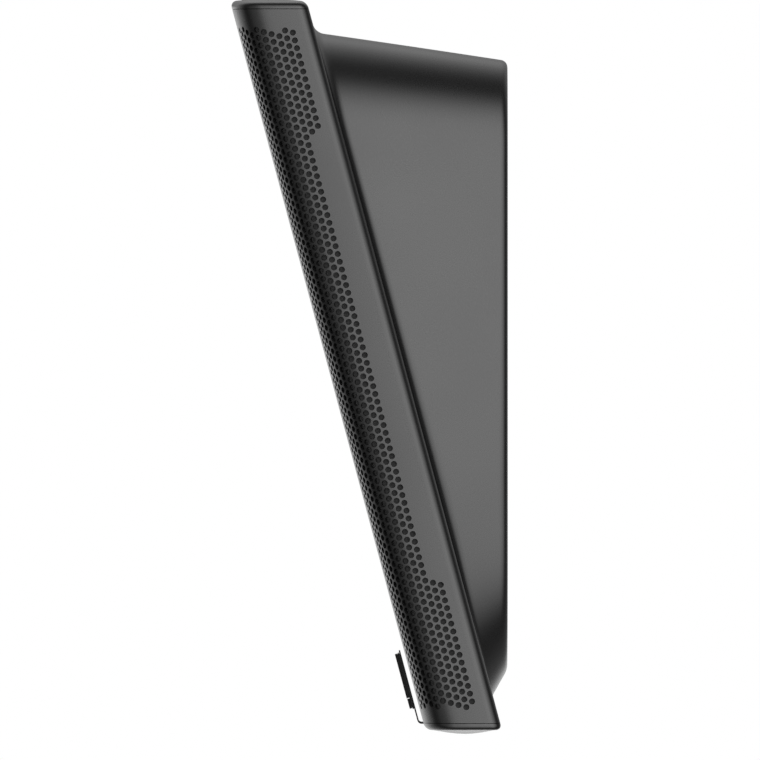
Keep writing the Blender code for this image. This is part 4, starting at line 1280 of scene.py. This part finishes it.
def pale_floor():
    shape = bmesh.new()
    bmesh.ops.create_circle(shape, cap_ends=True, segments=96, radius=9.0)
    floor = object_from(shape, "floor", None, body=None)
    shader = Shader("pale_floor")
    speckle = shader.noise(40.0, 3.0)
    pale = shader.blend(speckle, grey(0.86), grey(0.89))
    shader.set(colour=pale, roughness=0.8, emission=pale, glow=FLOOR_GLOW)
    floor.data.materials.clear()
    floor.data.materials.append(shader.material)
    floor.location.z = FLOOR_LEVEL
    # The surroundings alone light the display, also from below.
    floor.visible_glossy = False
    floor.visible_diffuse = False


def surroundings():
    """White to the camera; for lighting, a dim studio with a key on the right and a surround on the left."""
    world = bpy.data.worlds.new("studio")
    bpy.context.scene.world = world
    world.use_nodes = True
    nodes = Nodes(world.node_tree)
    nodes.tree.nodes.clear()

    def step(value, edges, out_low, out_high):
        return nodes.ramp(value, *edges, out_low, out_high, "SMOOTHSTEP")

    direction = nodes.node("ShaderNodeTexCoord").outputs["Generated"]
    x, y, z = nodes.node("ShaderNodeSeparateXYZ", {0: direction}).outputs
    below = nodes.math("MAXIMUM", nodes.math("MULTIPLY", z, -1.0), 0.0)
    facing = nodes.math("ADD", x, nodes.math("MULTIPLY", below, KEY_REACH_BELOW))
    behind = nodes.math("MULTIPLY", step(x, BEHIND_EDGE, 1.0, 0.0), step(z, BEHIND_LEVEL_FADE, *BEHIND_GAIN))
    key = nodes.product(step(facing, KEY_EDGE, 0.0, KEY_LIGHT),
                        step(y, KEY_FRONT_FADE, KEY_FRONT_SHARE, 1.0),
                        step(y, KEY_WALL_FADE, 1.0, KEY_WALL_SHARE))
    surround = nodes.product(step(x, SURROUND_EDGE, SURROUND_LIGHT, 0.0),
                             step(y, SURROUND_FRONT_FADE, SURROUND_FRONT_SHARE, 1.0),
                             step(y, SURROUND_WALL_FADE, 1.0, SURROUND_WALL_SHARE),
                             nodes.math("ADD", behind, 1.0),
                             step(z, SURROUND_BELOW_FADE, SURROUND_BELOW_SHARE, 1.0))
    total = nodes.math("ADD", nodes.math("ADD", key, surround), DIM_LIGHT)
    cast = nodes.node("ShaderNodeBackground", {"Strength": total}).outputs[0]
    seen = nodes.node("ShaderNodeBackground", {"Color": (1, 1, 1, 1)}).outputs[0]
    seen_by_camera = nodes.node("ShaderNodeLightPath").outputs["Is Camera Ray"]
    mix = nodes.node("ShaderNodeMixShader", {0: seen_by_camera, 1: cast, 2: seen})
    nodes.node("ShaderNodeOutputWorld", {0: mix.outputs[0]})


def camera():
    data = bpy.data.cameras.new("camera")
    data.sensor_width = 36.0
    data.lens = data.sensor_width * CAMERA_DISTANCE / (FRAME_WIDTH * MM)
    data.clip_end = 40.0
    eye = bpy.data.objects.new("camera", data)
    bpy.context.scene.collection.objects.link(eye)
    eye.location = (HALF_WIDTH * MM + CAMERA_DISTANCE, FRAME_MIDDLE[0] * MM, FRAME_MIDDLE[1] * MM)
    eye.rotation_euler = (math.pi / 2, 0, math.pi / 2)
    bpy.context.scene.camera = eye


def build():
    shell = moulded_plastic("charcoal_shell", 0.010, 0.29)
    cap = moulded_plastic("charcoal_cap", 0.010, 0.27)
    dress(frame["nodes"])
    cloth = acoustic_cloth("acoustic_cloth")
    for side in (-1, 1):
        speaker_side(side, shell)
        speaker_cloth(side, cloth)
    for end in (-1, 1):
        end_cap(end, cap)
    back_shell(shell)
    for name in BUTTON_MARKS:
        dished_button(name, cap)
    black_print(black_ink("black_ink"))
    tab_tape(soft_rubber("tape_foam", 0.008, 0.85))
    pale_floor()
    surroundings()
    camera()
    bpy.context.scene.view_settings.view_transform = "Standard"


build()
